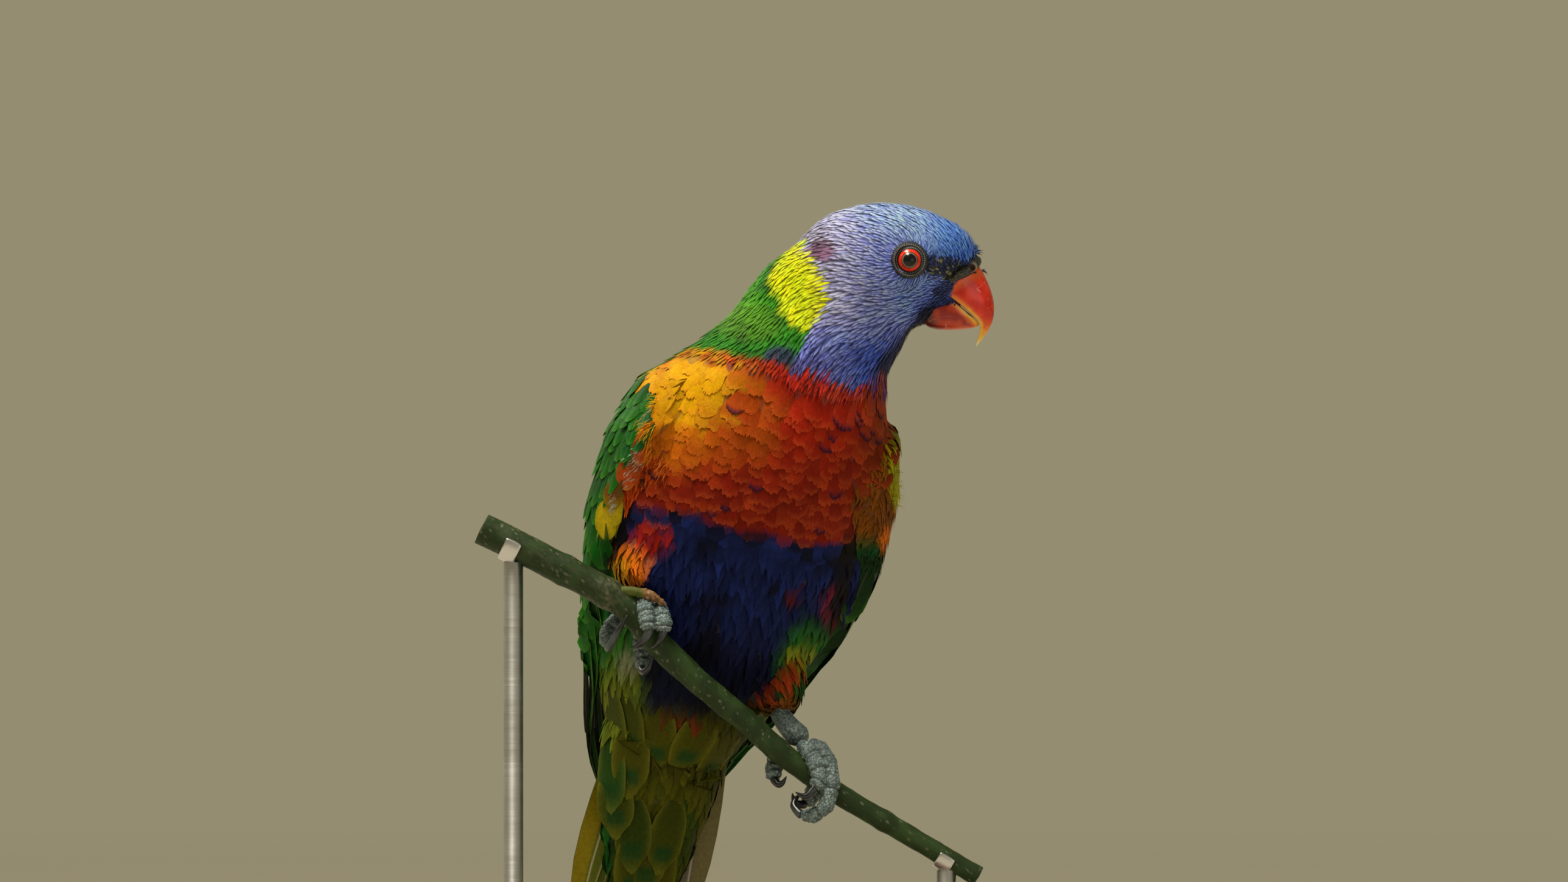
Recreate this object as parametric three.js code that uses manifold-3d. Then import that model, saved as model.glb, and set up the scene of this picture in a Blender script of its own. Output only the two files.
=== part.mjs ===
// Rainbow lorikeet gripping a cut branch, life size, on a plain display stand.
// Millimetres, +Z up. The belly faces -Y and the head is turned to its left, along +X.
// The origin is the middle of the base's underside.
import * as THREE from 'three';
import { mergeVertices } from 'three/addons/utils/BufferGeometryUtils.js';
import Module from 'manifold-3d';

// Driving dimensions
const GAP = 0.3;                 // clearance between neighbouring pieces
const CROWN_Z = 288;             // top of the head above the floor
const TAIL_TIP_Z = 33;           // tail tip above the floor
const HEAD_LENGTH = 61;          // nape to forehead, with the feathers
const HEAD_WIDTH = 36;
const HEAD_RISE = 22;            // crown above the middle of the head
const HEAD_DROP = 18.5;          // throat below the middle of the head
const HEAD_MIDDLE = [46.8, -12, CROWN_Z - HEAD_RISE];
const EYE_RADIUS = 4.7;
const EYE_MIDDLE = [54.6, 13.6, 269.7];     // the middle number is the offset to each side
const WING_THICKNESS = 4.5;
const BODY_YAW = THREE.MathUtils.degToRad(10);   // the breast is turned a little to +X
const FAR = 400;                 // past every side of the bird
const BASE = { length: 172, width: 120, height: 12, corner: 14, edge: 1.5 };
const ROD = { radius: 3, x: [-66, 66], seat: 7 };

const wasm = await Module();
wasm.setup();

// A solid from a closed geometry, and back again
function toSolid(geometry) {
	const bare = geometry.clone();
	bare.deleteAttribute('normal');
	bare.deleteAttribute('uv');
	const merged = mergeVertices(bare, 1e-4);
	return new wasm.Manifold(new wasm.Mesh({
		numProp: 3,
		vertProperties: new Float32Array(merged.attributes.position.array),
		triVerts: new Uint32Array(merged.index.array),
	}));
}

function toGeometry(solid) {
	const mesh = solid.getMesh();
	const geometry = new THREE.BufferGeometry();
	geometry.setAttribute('position', new THREE.BufferAttribute(new Float32Array(mesh.vertProperties), 3));
	geometry.setIndex(new THREE.BufferAttribute(new Uint32Array(mesh.triVerts), 1));
	geometry.computeVertexNormals();
	return geometry;
}

// Moves every vertex of a geometry by a function of its place
function warp(geometry, place) {
	const position = geometry.attributes.position;
	const point = new THREE.Vector3();
	for (let i = 0; i < position.count; i += 1) {
		point.fromBufferAttribute(position, i);
		place(point);
		position.setXYZ(i, point.x, point.y, point.z);
	}
	return geometry;
}

// A closed skin drawn over oval sections along a smooth line. Each station has its middle (at),
// half-width (wide) across and half-depth along the direction up. Round gives the share of the
// line over which each end closes. With level the sections stay horizontal.
function loft(stations, { up, sides = 12, rings = 12, round = [0.1, 0.1], level = false }, grow = 0) {
	const middle = new THREE.CatmullRomCurve3(
		stations.map((station) => new THREE.Vector3(...station.at)), false, 'catmullrom', 0.5);
	const size = new THREE.CatmullRomCurve3(
		stations.map((station) => new THREE.Vector3(station.wide, station.deep, 0)), false, 'catmullrom', 0.5);
	const reference = new THREE.Vector3(...up);
	const closing = (share) => (share >= 1 ? 1 : Math.sqrt(1 - (1 - share) ** 2));
	return warp(new THREE.SphereGeometry(1, sides, rings), (point) => {
		const along = THREE.MathUtils.clamp((1 - point.y) / 2, 0, 1);
		const ring = Math.hypot(point.x, point.z);
		const across = ring > 1e-9 ? point.x / ring : 0;
		const deep = ring > 1e-9 ? point.z / ring : 0;
		const full = ring > 1e-6 ? closing(along / round[0]) * closing((1 - along) / round[1]) : 0;
		const tangent = level ? new THREE.Vector3(0, 0, -1) : middle.getTangent(along);
		const side = new THREE.Vector3().crossVectors(reference, tangent).normalize();
		const depth = new THREE.Vector3().crossVectors(tangent, side);
		const radii = size.getPoint(along);
		point.copy(middle.getPoint(along))
			.addScaledVector(side, across * full * (radii.x + grow))
			.addScaledVector(depth, deep * full * (radii.y + grow));
	});
}

// A round tapering tube through points, one radius for each
function tube(points, radii, options, grow = 0) {
	return loft(points.map((at, i) => ({ at, wide: radii[i], deep: radii[i] })), options, grow);
}

// The part of a solid left after others are cut from it: its largest piece
function carve(solid, ...others) {
	let rest = solid;
	for (const other of others) rest = rest.subtract(other);
	const pieces = rest.decompose();
	return pieces.reduce((best, piece) => (piece.volume() > best.volume() ? piece : best));
}

// A wide level block turned so that it lies between two distances along a direction
function slab(direction, low, high) {
	const geometry = new THREE.BoxGeometry(FAR, FAR, high - low);
	geometry.translate(0, 0, (low + high) / 2);
	geometry.applyQuaternion(new THREE.Quaternion().setFromUnitVectors(new THREE.Vector3(0, 0, 1), direction));
	return toSolid(geometry);
}

const bird = new THREE.Group();
bird.name = 'lorikeet';

function add(name, solid, color, roughness = 0.8, metalness = 0) {
	const material = new THREE.MeshStandardMaterial({ color, roughness, metalness });
	const mesh = new THREE.Mesh(toGeometry(solid), material);
	mesh.name = name;
	bird.add(mesh);
}

// Perch: a green branch with a short twig stub, falling from left to right in front of the belly
const PERCH_LINE = [
	[-76, -25, 188.2], [-56, -25, 178.2], [-33, -24.5, 165.4], [-21.3, -23.5, 152.2],
	[-8.2, -21.5, 140], [3.7, -19, 130.1], [16.3, -17.5, 118.9], [32.3, -16.5, 107.5],
	[56, -15.5, 93.3], [76, -15, 81.5],
];
const PERCH_RADII = [4.8, 4.7, 4.4, 4.1, 3.8, 3.7, 3.5, 3.3, 3.1, 3.1];
const STUB_LINE = [
	[-37, -25, 168.2], [-32, -26.5, 168.9], [-27.7, -27, 168.6], [-23.4, -27, 167.3], [-19.8, -27, 164.9],
];
const STUB_RADII = [2.2, 1.6, 1.5, 1.4, 0.5];
const PERCH_UP = [0.55, 0, 0.84];

function makePerch(grow) {
	const branch = tube(PERCH_LINE, PERCH_RADII, { up: PERCH_UP, sides: 9, rings: 26, round: [0.004, 0.004] }, grow);
	const stub = tube(STUB_LINE, STUB_RADII, { up: [0, 1, 0], sides: 7, rings: 9, round: [0.1, 0.06] }, grow);
	return toSolid(branch).add(toSolid(stub));
}
const perch = makePerch(0);
const perchSpace = makePerch(GAP);

// Stand: a flat base with rounded corners and two rods that carry the perch near its ends
function makeBase() {
	const { length, width, height, corner, edge } = BASE;
	const outline = new THREE.Shape();
	const reachX = length / 2 - edge;
	const reachY = width / 2 - edge;
	const turn = corner - edge;
	outline.absarc(reachX - turn, reachY - turn, turn, 0, Math.PI / 2);
	outline.absarc(turn - reachX, reachY - turn, turn, Math.PI / 2, Math.PI);
	outline.absarc(turn - reachX, turn - reachY, turn, Math.PI, Math.PI * 1.5);
	outline.absarc(reachX - turn, turn - reachY, turn, Math.PI * 1.5, Math.PI * 2);
	outline.closePath();
	const plate = new THREE.ExtrudeGeometry(outline, {
		depth: height - 2 * edge, bevelThickness: edge, bevelSize: edge, bevelSegments: 1, curveSegments: 5,
	});
	plate.translate(0, 0, edge);
	return toSolid(plate);
}

const perchCurve = new THREE.CatmullRomCurve3(
	PERCH_LINE.map((point) => new THREE.Vector3(...point)), false, 'catmullrom', 0.5);

// The point of the perch's middle line above a given x, found by halving
const HALVINGS = 30;
function perchAbove(x) {
	let low = 0;
	let high = 1;
	for (let step = 0; step < HALVINGS; step += 1) {
		const half = (low + high) / 2;
		if (perchCurve.getPoint(half).x < x) low = half;
		else high = half;
	}
	return perchCurve.getPoint(low);
}

function makeRod(x, grow, foot) {
	const top = perchAbove(x);
	const length = top.z - foot;
	const rod = new THREE.CylinderGeometry(ROD.radius + grow, ROD.radius + grow, length, 14);
	rod.rotateX(Math.PI / 2);
	rod.translate(x, top.y, foot + length / 2);
	return toSolid(rod);
}

let base = makeBase();
ROD.x.forEach((x, i) => {
	const seatFloor = BASE.height - ROD.seat;
	base = base.subtract(makeRod(x, GAP, seatFloor));
	const rod = carve(makeRod(x, 0, seatFloor + GAP), perchSpace);
	add(i === 0 ? 'stand_rod_left' : 'stand_rod_right', rod, 0xb8babd, 0.35, 1);
});
add('stand_base', base, 0x5a4030, 0.5);
add('perch', perch, 0x4c5f2c, 0.75);

// Trunk and neck: level oval sections whose sides follow the outline under the folded wings. The
// wing number is the thickness of the folded wing over that section.
const BODY_SECTIONS = [
	{ z: 281, left: 24, right: 50, front: -24, back: 0, wing: 0 },
	{ z: 268, left: 9.5, right: 58, front: -28, back: 6, wing: 0 },
	{ z: 258, left: 2, right: 59, front: -30, back: 12, wing: 0 },
	{ z: 247, left: -7, right: 56, front: -33, back: 18, wing: 0.8 },
	{ z: 238, left: -23.4, right: 49.5, front: -36, back: 24, wing: 2.2 },
	{ z: 225, left: -32.6, right: 49.4, front: -38, back: 31, wing: 3.4 },
	{ z: 205, left: -38, right: 48.5, front: -38, back: 37, wing: WING_THICKNESS },
	{ z: 185, left: -42, right: 46.5, front: -33, back: 40, wing: WING_THICKNESS },
	{ z: 165, left: -42, right: 38.5, front: -24.5, back: 41.5, wing: WING_THICKNESS },
	{ z: 148, left: -41.6, right: 27.2, front: -16, back: 41, wing: WING_THICKNESS },
	{ z: 134, left: -40.4, right: 15, front: -8, back: 41, wing: WING_THICKNESS },
	{ z: 120, left: -36, right: 3, front: 3, back: 40, wing: WING_THICKNESS },
	{ z: 107, left: -34, right: -7, front: 17, back: 40, wing: WING_THICKNESS },
	{ z: 96, left: -31, right: -15, front: 28, back: 39.5, wing: WING_THICKNESS },
];

// The space under the flight feathers, which runs on past the body's end to the wing tips
const FLIGHT_SECTIONS = [
	{ z: 160, left: -42, right: 36.5, front: -24, back: 41.5 },
	{ z: 147, left: -43.2, right: 26.5, front: -16, back: 41.2 },
	{ z: 134, left: -43.4, right: 17, front: -8, back: 42 },
	{ z: 120, left: -42.4, right: 3.5, front: 3, back: 42.5 },
	{ z: 106, left: -41, right: -5.5, front: 12, back: 42.5 },
	{ z: 92, left: -38, right: -10, front: 20, back: 42 },
	{ z: 80, left: -36, right: -13, front: 28, back: 42 },
	{ z: 68, left: -34, right: -18, front: 34, back: 42 },
];

const BODY_SHAPE = { up: [0, 1, 0], level: true, sides: 22, rings: 18, round: [0.06, 0.06] };
const FLIGHT_SHAPE = { up: [0, 1, 0], level: true, sides: 22, rings: 10, round: [0.02, 0.02] };

// A closed form over level sections. Winged, it takes in the thickness of the folded wings.
function makeLevel(sections, shape, grow, winged = 0) {
	const stations = sections.map(({ z, left, right, front, back, wing = 0 }) => ({
		at: [(left + right) / 2, (front + back) / 2, z],
		wide: (right - left) / 2 + wing * winged,
		deep: (back - front) / 2 + wing * winged,
	}));
	return toSolid(loft(stations, shape, grow));
}
const makeBody = (grow, winged) => makeLevel(BODY_SECTIONS, BODY_SHAPE, grow, winged);
const makeFlight = (grow) => makeLevel(FLIGHT_SECTIONS, FLIGHT_SHAPE, grow);

// The face narrows to the bill's own width in front of two lines in side view, each given by a
// point (x, z) on it and its forward direction.
const FACE_LINES = [
	{ point: [64.8, 259.8], forward: [0.741, -0.672] },
	{ point: [65.4, 259.6], forward: [0.896, -0.444] },
];
const FACE_HALF_WIDTH = 5.2;
const FACE_SLOPE = 1.4;          // how fast the face widens behind the lines
const FACE_BLEND = 12;           // how sharply the narrowing starts

function narrowFace(sideways, x, z) {
	const ahead = FACE_LINES.map(({ point, forward }) => (x - point[0]) * forward[0] + (z - point[1]) * forward[1]);
	const limit = FACE_HALF_WIDTH + FACE_SLOPE * Math.max(0, -Math.min(...ahead));
	return sideways / (1 + Math.abs(sideways / limit) ** FACE_BLEND) ** (1 / FACE_BLEND);
}

// Head: an egg in profile, highest over the eye and a little fuller at the cheeks
function makeHead(grow) {
	const egg = warp(new THREE.SphereGeometry(1, 18, 12), (point) => {
		const cheek = 1 + 0.06 * Math.max(0, -point.y);
		const { x, y, z } = point;
		const forward = HEAD_MIDDLE[0] + x * (HEAD_LENGTH / 2 + grow);
		const height = HEAD_MIDDLE[2] + y * ((y > 0 ? HEAD_RISE : HEAD_DROP) + grow);
		const sideways = narrowFace(z * (HEAD_WIDTH / 2 + grow) * cheek, forward, height);
		point.set(forward, HEAD_MIDDLE[1] - sideways, height);
	});
	return toSolid(egg);
}

function makeEye(side, grow) {
	const ball = new THREE.SphereGeometry(EYE_RADIUS + grow, 12, 8);
	ball.translate(EYE_MIDDLE[0], HEAD_MIDDLE[1] + side * EYE_MIDDLE[1], EYE_MIDDLE[2]);
	return toSolid(ball);
}

// Bill: a deep hooked upper half, a short lower half under it, and the bare cere above
const BILL_UP = [0, 1, 0];
const BILL_Y = HEAD_MIDDLE[1];

function makeUpperBill(grow) {
	const stations = [
		{ at: [70.6, BILL_Y, 264.6], wide: 6, deep: 6.6 },
		{ at: [74.2, BILL_Y, 259.8], wide: 5.8, deep: 5.9 },
		{ at: [76.6, BILL_Y, 255.4], wide: 4.4, deep: 4.2 },
		{ at: [78, BILL_Y, 251.8], wide: 2.4, deep: 2.4 },
		{ at: [77.6, BILL_Y, 248.6], wide: 1.5, deep: 1.5 },
		{ at: [76.4, BILL_Y, 245.8], wide: 0.9, deep: 0.9 },
		{ at: [75.1, BILL_Y, 243.6], wide: 0.3, deep: 0.3 },
	];
	return toSolid(loft(stations, { up: BILL_UP, sides: 12, rings: 13, round: [0.06, 0.03] }, grow));
}

function makeLowerBill(grow) {
	const stations = [
		{ at: [60.5, BILL_Y, 254.6], wide: 4.6, deep: 5.4 },
		{ at: [66, BILL_Y, 253], wide: 4.7, deep: 5.3 },
		{ at: [71.4, BILL_Y, 251.6], wide: 3, deep: 4.1 },
		{ at: [75.9, BILL_Y, 250.6], wide: 0.8, deep: 1.8 },
	];
	return toSolid(loft(stations, { up: BILL_UP, sides: 12, rings: 9, round: [0.1, 0.08] }, grow));
}

function makeCere(grow) {
	const saddle = new THREE.SphereGeometry(1, 10, 6);
	saddle.scale(4 + grow, 6.4 + grow, 3.2 + grow);
	saddle.translate(73.2, BILL_Y, 268.6);
	return toSolid(saddle);
}

const upperBill = makeUpperBill(0);
const upperBillSpace = makeUpperBill(GAP);
const lowerBill = carve(makeLowerBill(0), upperBillSpace);
const cere = carve(makeCere(0), upperBillSpace);
const eyes = [-1, 1].map((side) => makeEye(side, 0));
add('bill_upper', upperBill, 0xd8401c, 0.35);
add('bill_lower', lowerBill, 0xb5351a, 0.35);
add('cere', cere, 0x23262c, 0.6);
add('eye_right', eyes[0], 0xc23a1c, 0.15);
add('eye_left', eyes[1], 0xc23a1c, 0.15);

// Tail: the folded tail feathers as one flat tapering blade, with the long coverts under its root
const DORSAL = [-Math.sin(BODY_YAW), Math.cos(BODY_YAW), 0];

function makeTail(grow) {
	const stations = [
		{ at: [-17, 24, 136], wide: 17, deep: 6 },
		{ at: [-22, 29, 112], wide: 20.5, deep: 4.4 },
		{ at: [-28.5, 34, 84], wide: 20.5, deep: 3.2 },
		{ at: [-34, 39, 56], wide: 15.5, deep: 2.2 },
		{ at: [-38, 43, TAIL_TIP_Z], wide: 6, deep: 1.1 },
	];
	return toSolid(loft(stations, { up: DORSAL, sides: 12, rings: 10, round: [0.06, 0.06] }, grow));
}

function makeUndertail(grow) {
	const stations = [
		{ at: [-19, 14, 134], wide: 19, deep: 15 },
		{ at: [-21, 19, 118], wide: 21.5, deep: 13.5 },
		{ at: [-24, 24.5, 98], wide: 18, deep: 9.5 },
		{ at: [-28, 29, 78], wide: 12.5, deep: 6.5 },
		{ at: [-31.5, 33, 58], wide: 5, deep: 4 },
	];
	return toSolid(loft(stations, { up: DORSAL, sides: 13, rings: 10, round: [0.08, 0.08] }, grow));
}

// Feet: two toes forward over the perch and two behind it, each with a curved claw. The toe's
// line starts in the palm, and the claw's line starts in the toe's end.
const ACROSS_PERCH = [0.68, 0.08, -0.73];
const TOE_RADII = [2.75, 2.8, 2.6, 2.5];
const CLAW_RADII = [1.3, 1.05, 0.75, 0.3];
const FEET = {
	right: {
		thigh: [[-23, -4, 187], [-25, -13.5, 176], [-25.5, -16, 166.5]],
		thighRadii: [11, 11, 5],
		tarsus: [[-24.5, -8, 170], [-25.5, -15, 167], [-26, -19, 163.5]],
		toes: [
			{
				line: [[-26, -21, 166], [-26.2, -26, 164.6], [-25.2, -29.8, 160.5], [-24.6, -30.8, 157]],
				claw: [[-24.8, -31.2, 156.6], [-26, -31.2, 154.4], [-28, -30, 152.6], [-30.2, -28.2, 151.6]],
			},
			{
				line: [[-22.5, -20.5, 165], [-21.4, -25.2, 162.6], [-20.3, -28.8, 159.3], [-20.2, -29.4, 156.6]],
				claw: [[-20.6, -29.8, 156.2], [-21.4, -30, 154.2], [-22.4, -29.2, 152.8], [-23.8, -27.8, 151.8]],
			},
			{
				line: [[-29, -17.5, 163], [-34.5, -17, 159.6], [-37.4, -19, 156], [-37, -23.4, 152.3]],
				claw: [[-37, -24.6, 152], [-35.6, -27.6, 154], [-33.4, -29.8, 158], [-31.4, -29.6, 161.4]],
			},
			{
				line: [[-26.5, -16.4, 160], [-27, -15.6, 153.5], [-26.8, -16.6, 148.8], [-26.6, -19.6, 145.4]],
				claw: [[-26.8, -20.8, 144.8], [-26.2, -23, 144.4], [-24.8, -24.6, 145.8], [-23.6, -25.2, 148.4]],
			},
		],
	},
	left: {
		thigh: [[12, 6, 148], [14, -1, 139], [16, -6, 131]],
		thighRadii: [12, 9.5, 5.5],
		tarsus: [[14, -3, 133], [17.6, -8.4, 127.6], [22.6, -12.8, 122.8]],
		toes: [
			{
				line: [
					[24, -13, 123], [29, -17.4, 118.6], [31, -22.2, 110.4], [28.2, -23.4, 101.6], [21.4, -20.6, 100.4],
				],
				claw: [[20.8, -20, 101.4], [19.4, -18.6, 103.4], [20, -17.4, 105.4], [21.4, -16.6, 106.6]],
			},
			{
				line: [[21.2, -14.5, 122.6], [25.4, -19.6, 118], [27.4, -22.8, 112.4], [25.6, -24, 108.8]],
				claw: [[25, -24.4, 108.2], [23.6, -25.2, 106.8], [22, -25, 106.6], [20.2, -23.6, 107.6]],
			},
			{
				line: [[17.5, -10.5, 121.4], [14.6, -11, 118], [13.2, -12.6, 114.4], [13.5, -14.8, 111.6]],
				claw: [[13.8, -15.6, 110.8], [14.8, -16.8, 109.8], [16, -17.2, 110.4], [17, -17.2, 112]],
			},
			{
				line: [[22.5, -11, 119], [25.5, -10.2, 112.5], [25.5, -11.4, 107], [22.8, -13.6, 103.8]],
				claw: [[22, -14.2, 103.6], [20.4, -15, 104], [19.4, -15.4, 105.2], [19, -15.6, 106.8]],
			},
		],
	},
};

const TOE_SHAPE = { up: ACROSS_PERCH, sides: 7, rings: 8, round: [0.16, 0.13] };
const CLAW_SHAPE = { up: ACROSS_PERCH, sides: 6, rings: 6, round: [0.15, 0.1] };
const SHIN_SHAPE = { up: [1, 0, 0], sides: 9, rings: 7, round: [0.1, 0.22] };
const THIGH_SHAPE = { up: [1, 0, 0], sides: 12, rings: 8, round: [0.25, 0.12] };
const SHIN_RADII = [2.8, 3.3, 4];

// Everything of the legs, so that the trunk can be opened around it
const legSpaces = [];
for (const [name, foot] of Object.entries(FEET)) {
	const taken = [toSolid(tube(foot.tarsus, SHIN_RADII, SHIN_SHAPE, GAP))];
	add(`tarsus_${name}`, carve(toSolid(tube(foot.tarsus, SHIN_RADII, SHIN_SHAPE)), perchSpace), 0x6d7b7c, 0.7);
	foot.toes.forEach(({ line, claw }, i) => {
		const radii = line.map((point, k) => TOE_RADII[Math.min(k, TOE_RADII.length - 1)]);
		const toe = carve(toSolid(tube(line, radii, TOE_SHAPE)), perchSpace, ...taken);
		taken.push(toSolid(tube(line, radii, TOE_SHAPE, GAP)));
		const nail = carve(toSolid(tube(claw, CLAW_RADII, CLAW_SHAPE)), perchSpace, ...taken);
		taken.push(toSolid(tube(claw, CLAW_RADII, CLAW_SHAPE, GAP)));
		add(`toe_${name}_${i + 1}`, toe, 0x6d7b7c, 0.7);
		add(`claw_${name}_${i + 1}`, nail, 0x25282b, 0.3);
	});
	const thigh = carve(toSolid(tube(foot.thigh, foot.thighRadii, THIGH_SHAPE)), perchSpace, ...taken);
	add(`thigh_${name}`, thigh, 0x7a5a20, 0.8);
	legSpaces.push(toSolid(tube(foot.thigh, foot.thighRadii, THIGH_SHAPE, GAP)), ...taken);
}

// Folded wings: each is a shell over the side and back, trimmed to the wing's outline in side
// view. Sideways distances are from the leaning midline of the body, whose left side hangs lower.
const BEHIND = 70;               // backward distance past every part of a wing
const WING_FRONT = [[-14, 235], [-29, 214], [-28, 202], [-19, 184], [-17, 168], [-8, 150], [2, 136]];
const WING_HEM = [[14, 131], [30, 140], [BEHIND, 158]];
const FLIGHT_EDGE = [[3, 134], [8, 122], [14, 106], [22, 94], [32, 84], [BEHIND, 78]];
const SIDE_REACH = 90;           // outward depth of the block that trims a wing
const FRONT_STEPS = 12;          // points along the wing's curved front edge
const FLIGHT_THICKNESS = 3;
const MANTLE = { top: 244, rearTop: 236, halfWidth: 15, bottom: 172, gap: 1.2 };
const LEAN = 0.22;               // sideways drift of the midline for each millimetre of height
const SHOULDER_DROP = 0.4;       // how much more the left shoulder hangs than the lower body
const RECLINE = 0.2;             // backward drift of the midline for each millimetre down

// A point given by sideways and backward distance and height, brought to the body's place
function bodyPlace(sideways, back, z) {
	const middleX = 9 + (z - 226) * LEAN;
	const middleY = 12 - (z - 165) * RECLINE;
	const drop = LEAN + SHOULDER_DROP * THREE.MathUtils.clamp((z - 190) / 50, 0, 1);
	return new THREE.Vector3(
		middleX + sideways * Math.cos(BODY_YAW) - back * Math.sin(BODY_YAW),
		middleY + sideways * Math.sin(BODY_YAW) + back * Math.cos(BODY_YAW),
		z - sideways * drop);
}

// Turns a geometry of loose triangles inside out, after a mirror
function flip(geometry) {
	const position = geometry.attributes.position;
	const second = new THREE.Vector3();
	const third = new THREE.Vector3();
	for (let i = 0; i < position.count; i += 3) {
		second.fromBufferAttribute(position, i + 1);
		third.fromBufferAttribute(position, i + 2);
		position.setXYZ(i + 1, third.x, third.y, third.z);
		position.setXYZ(i + 2, second.x, second.y, second.z);
	}
}

// A block over one side of the body, whose outline in side view is a list of (back, z) points
function sideBlock(outline, side) {
	const shape = new THREE.Shape(outline.map(([back, z]) => new THREE.Vector2(back, z)));
	const block = new THREE.ExtrudeGeometry(shape, { depth: SIDE_REACH, bevelEnabled: false });
	warp(block, (point) => {
		const { x: back, y: z, z: out } = point;
		const share = THREE.MathUtils.clamp((z - MANTLE.bottom) / (MANTLE.top - MANTLE.bottom), 0, 1);
		const inner = MANTLE.gap / 2 + share * (MANTLE.halfWidth - MANTLE.gap / 2);
		point.copy(bodyPlace(side * (inner + out), back, z));
	});
	if (side < 0) flip(block);
	return toSolid(block);
}

const headSpace = makeHead(GAP);
const bodySpace = makeBody(GAP);
const wingShell = makeBody(0, 1).subtract(bodySpace).subtract(headSpace);
const smooth = (points, steps) => new THREE.SplineCurve(points.map((point) => new THREE.Vector2(...point)))
	.getPoints(steps).map((point) => [point.x, point.y]);
const hemGap = ([back, z]) => [back, z - 2 * GAP];
const mantleLine = [[BEHIND, MANTLE.rearTop], [0, MANTLE.top]];
const wingOutline = [...smooth(WING_FRONT, FRONT_STEPS), ...WING_HEM, ...mantleLine];
const flightOutline = [...FLIGHT_EDGE, ...WING_HEM.toReversed().map(hemGap), hemGap(WING_FRONT.at(-1))];
const tail = makeTail(0);
const tailSpace = makeTail(GAP);
const undertailSpace = makeUndertail(GAP);
const flightShell = makeFlight(FLIGHT_THICKNESS).subtract(makeFlight(GAP));

for (const [name, side] of [['right', -1], ['left', 1]]) {
	const wing = carve(wingShell.intersect(sideBlock(wingOutline, side)), perchSpace);
	add(`wing_${name}`, wing, 0x1f8a2a, 0.7);
	const flightBlock = flightShell.intersect(sideBlock(flightOutline, side));
	const flight = carve(flightBlock, bodySpace, tailSpace, undertailSpace, ...legSpaces);
	add(`flight_feathers_${name}`, flight, 0x2a3026, 0.7);
}

add('tail', carve(tail, bodySpace), 0x8a8f3a, 0.7);
add('undertail_coverts', carve(makeUndertail(0), bodySpace, tailSpace), 0x77802c, 0.8);

// Head, neck and trunk: one plumage parted by two thin leaning cuts, and opened for what grows
// out of it
const CUT_DIRECTION = new THREE.Vector3(0.348, 0, 0.9375).normalize();
const HEAD_CUT = new THREE.Vector3(28, 0, 252).dot(CUT_DIRECTION);
const NECK_CUT = new THREE.Vector3(20, 0, 236).dot(CUT_DIRECTION);
const eyeSpaces = [-1, 1].map((side) => makeEye(side, GAP));
const plumage = makeBody(0).add(makeHead(0));
const head = plumage.intersect(slab(CUT_DIRECTION, HEAD_CUT + GAP / 2, FAR));
const neck = plumage.intersect(slab(CUT_DIRECTION, NECK_CUT + GAP / 2, HEAD_CUT - GAP / 2));
const trunk = plumage.intersect(slab(CUT_DIRECTION, 0, NECK_CUT - GAP / 2));
add('head', carve(head, upperBillSpace, makeLowerBill(GAP), makeCere(GAP), ...eyeSpaces), 0x4a5fa8, 0.85);
add('neck', carve(neck), 0x6fae2c, 0.85);
add('trunk', carve(trunk, perchSpace, ...legSpaces), 0xb23a1a, 0.85);

export default bird;
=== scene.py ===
import math

import bmesh
import bpy
import numpy as np
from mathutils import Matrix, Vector, noise
from mathutils.bvhtree import BVHTree


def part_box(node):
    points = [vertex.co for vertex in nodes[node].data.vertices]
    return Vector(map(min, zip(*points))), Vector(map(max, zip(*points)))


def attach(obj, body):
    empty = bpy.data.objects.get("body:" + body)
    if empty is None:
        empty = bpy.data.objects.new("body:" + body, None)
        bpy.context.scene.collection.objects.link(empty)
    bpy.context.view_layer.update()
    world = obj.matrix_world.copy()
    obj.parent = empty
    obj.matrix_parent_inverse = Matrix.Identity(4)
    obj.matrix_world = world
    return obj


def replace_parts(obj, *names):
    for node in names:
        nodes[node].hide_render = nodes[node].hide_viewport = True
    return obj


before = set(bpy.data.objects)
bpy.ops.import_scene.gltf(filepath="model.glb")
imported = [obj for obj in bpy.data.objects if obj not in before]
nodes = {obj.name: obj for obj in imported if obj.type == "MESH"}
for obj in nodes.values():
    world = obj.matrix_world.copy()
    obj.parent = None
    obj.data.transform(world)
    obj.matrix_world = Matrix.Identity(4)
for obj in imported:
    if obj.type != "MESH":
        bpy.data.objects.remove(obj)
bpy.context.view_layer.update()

# The view is the photograph's own: level with the bird's shoulder, three metres off, through a
# long lens. At the bird one millimetre is 5.35 pixels of a frame 2576 pixels wide.
MM = 0.001
PHOTO_WIDTH = 2576
PIXELS_PER_MM = 5.35
VIEW_FROM = Vector((16.4, -3000, 214.7)) * MM
SENSOR_WIDTH = 36


def put_in_scene(name, data):
    """A new object at the origin, linked to the scene."""
    made = bpy.data.objects.new(name, data)
    bpy.context.scene.collection.objects.link(made)
    return made


view = bpy.data.cameras.new("view")
view.sensor_width = SENSOR_WIDTH
view.lens = SENSOR_WIDTH * -VIEW_FROM.y / (PHOTO_WIDTH / PIXELS_PER_MM * MM)
camera = put_in_scene("view", view)
camera.location = VIEW_FROM
camera.rotation_euler = (math.pi / 2, 0, 0)
bpy.context.scene.camera = camera


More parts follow.
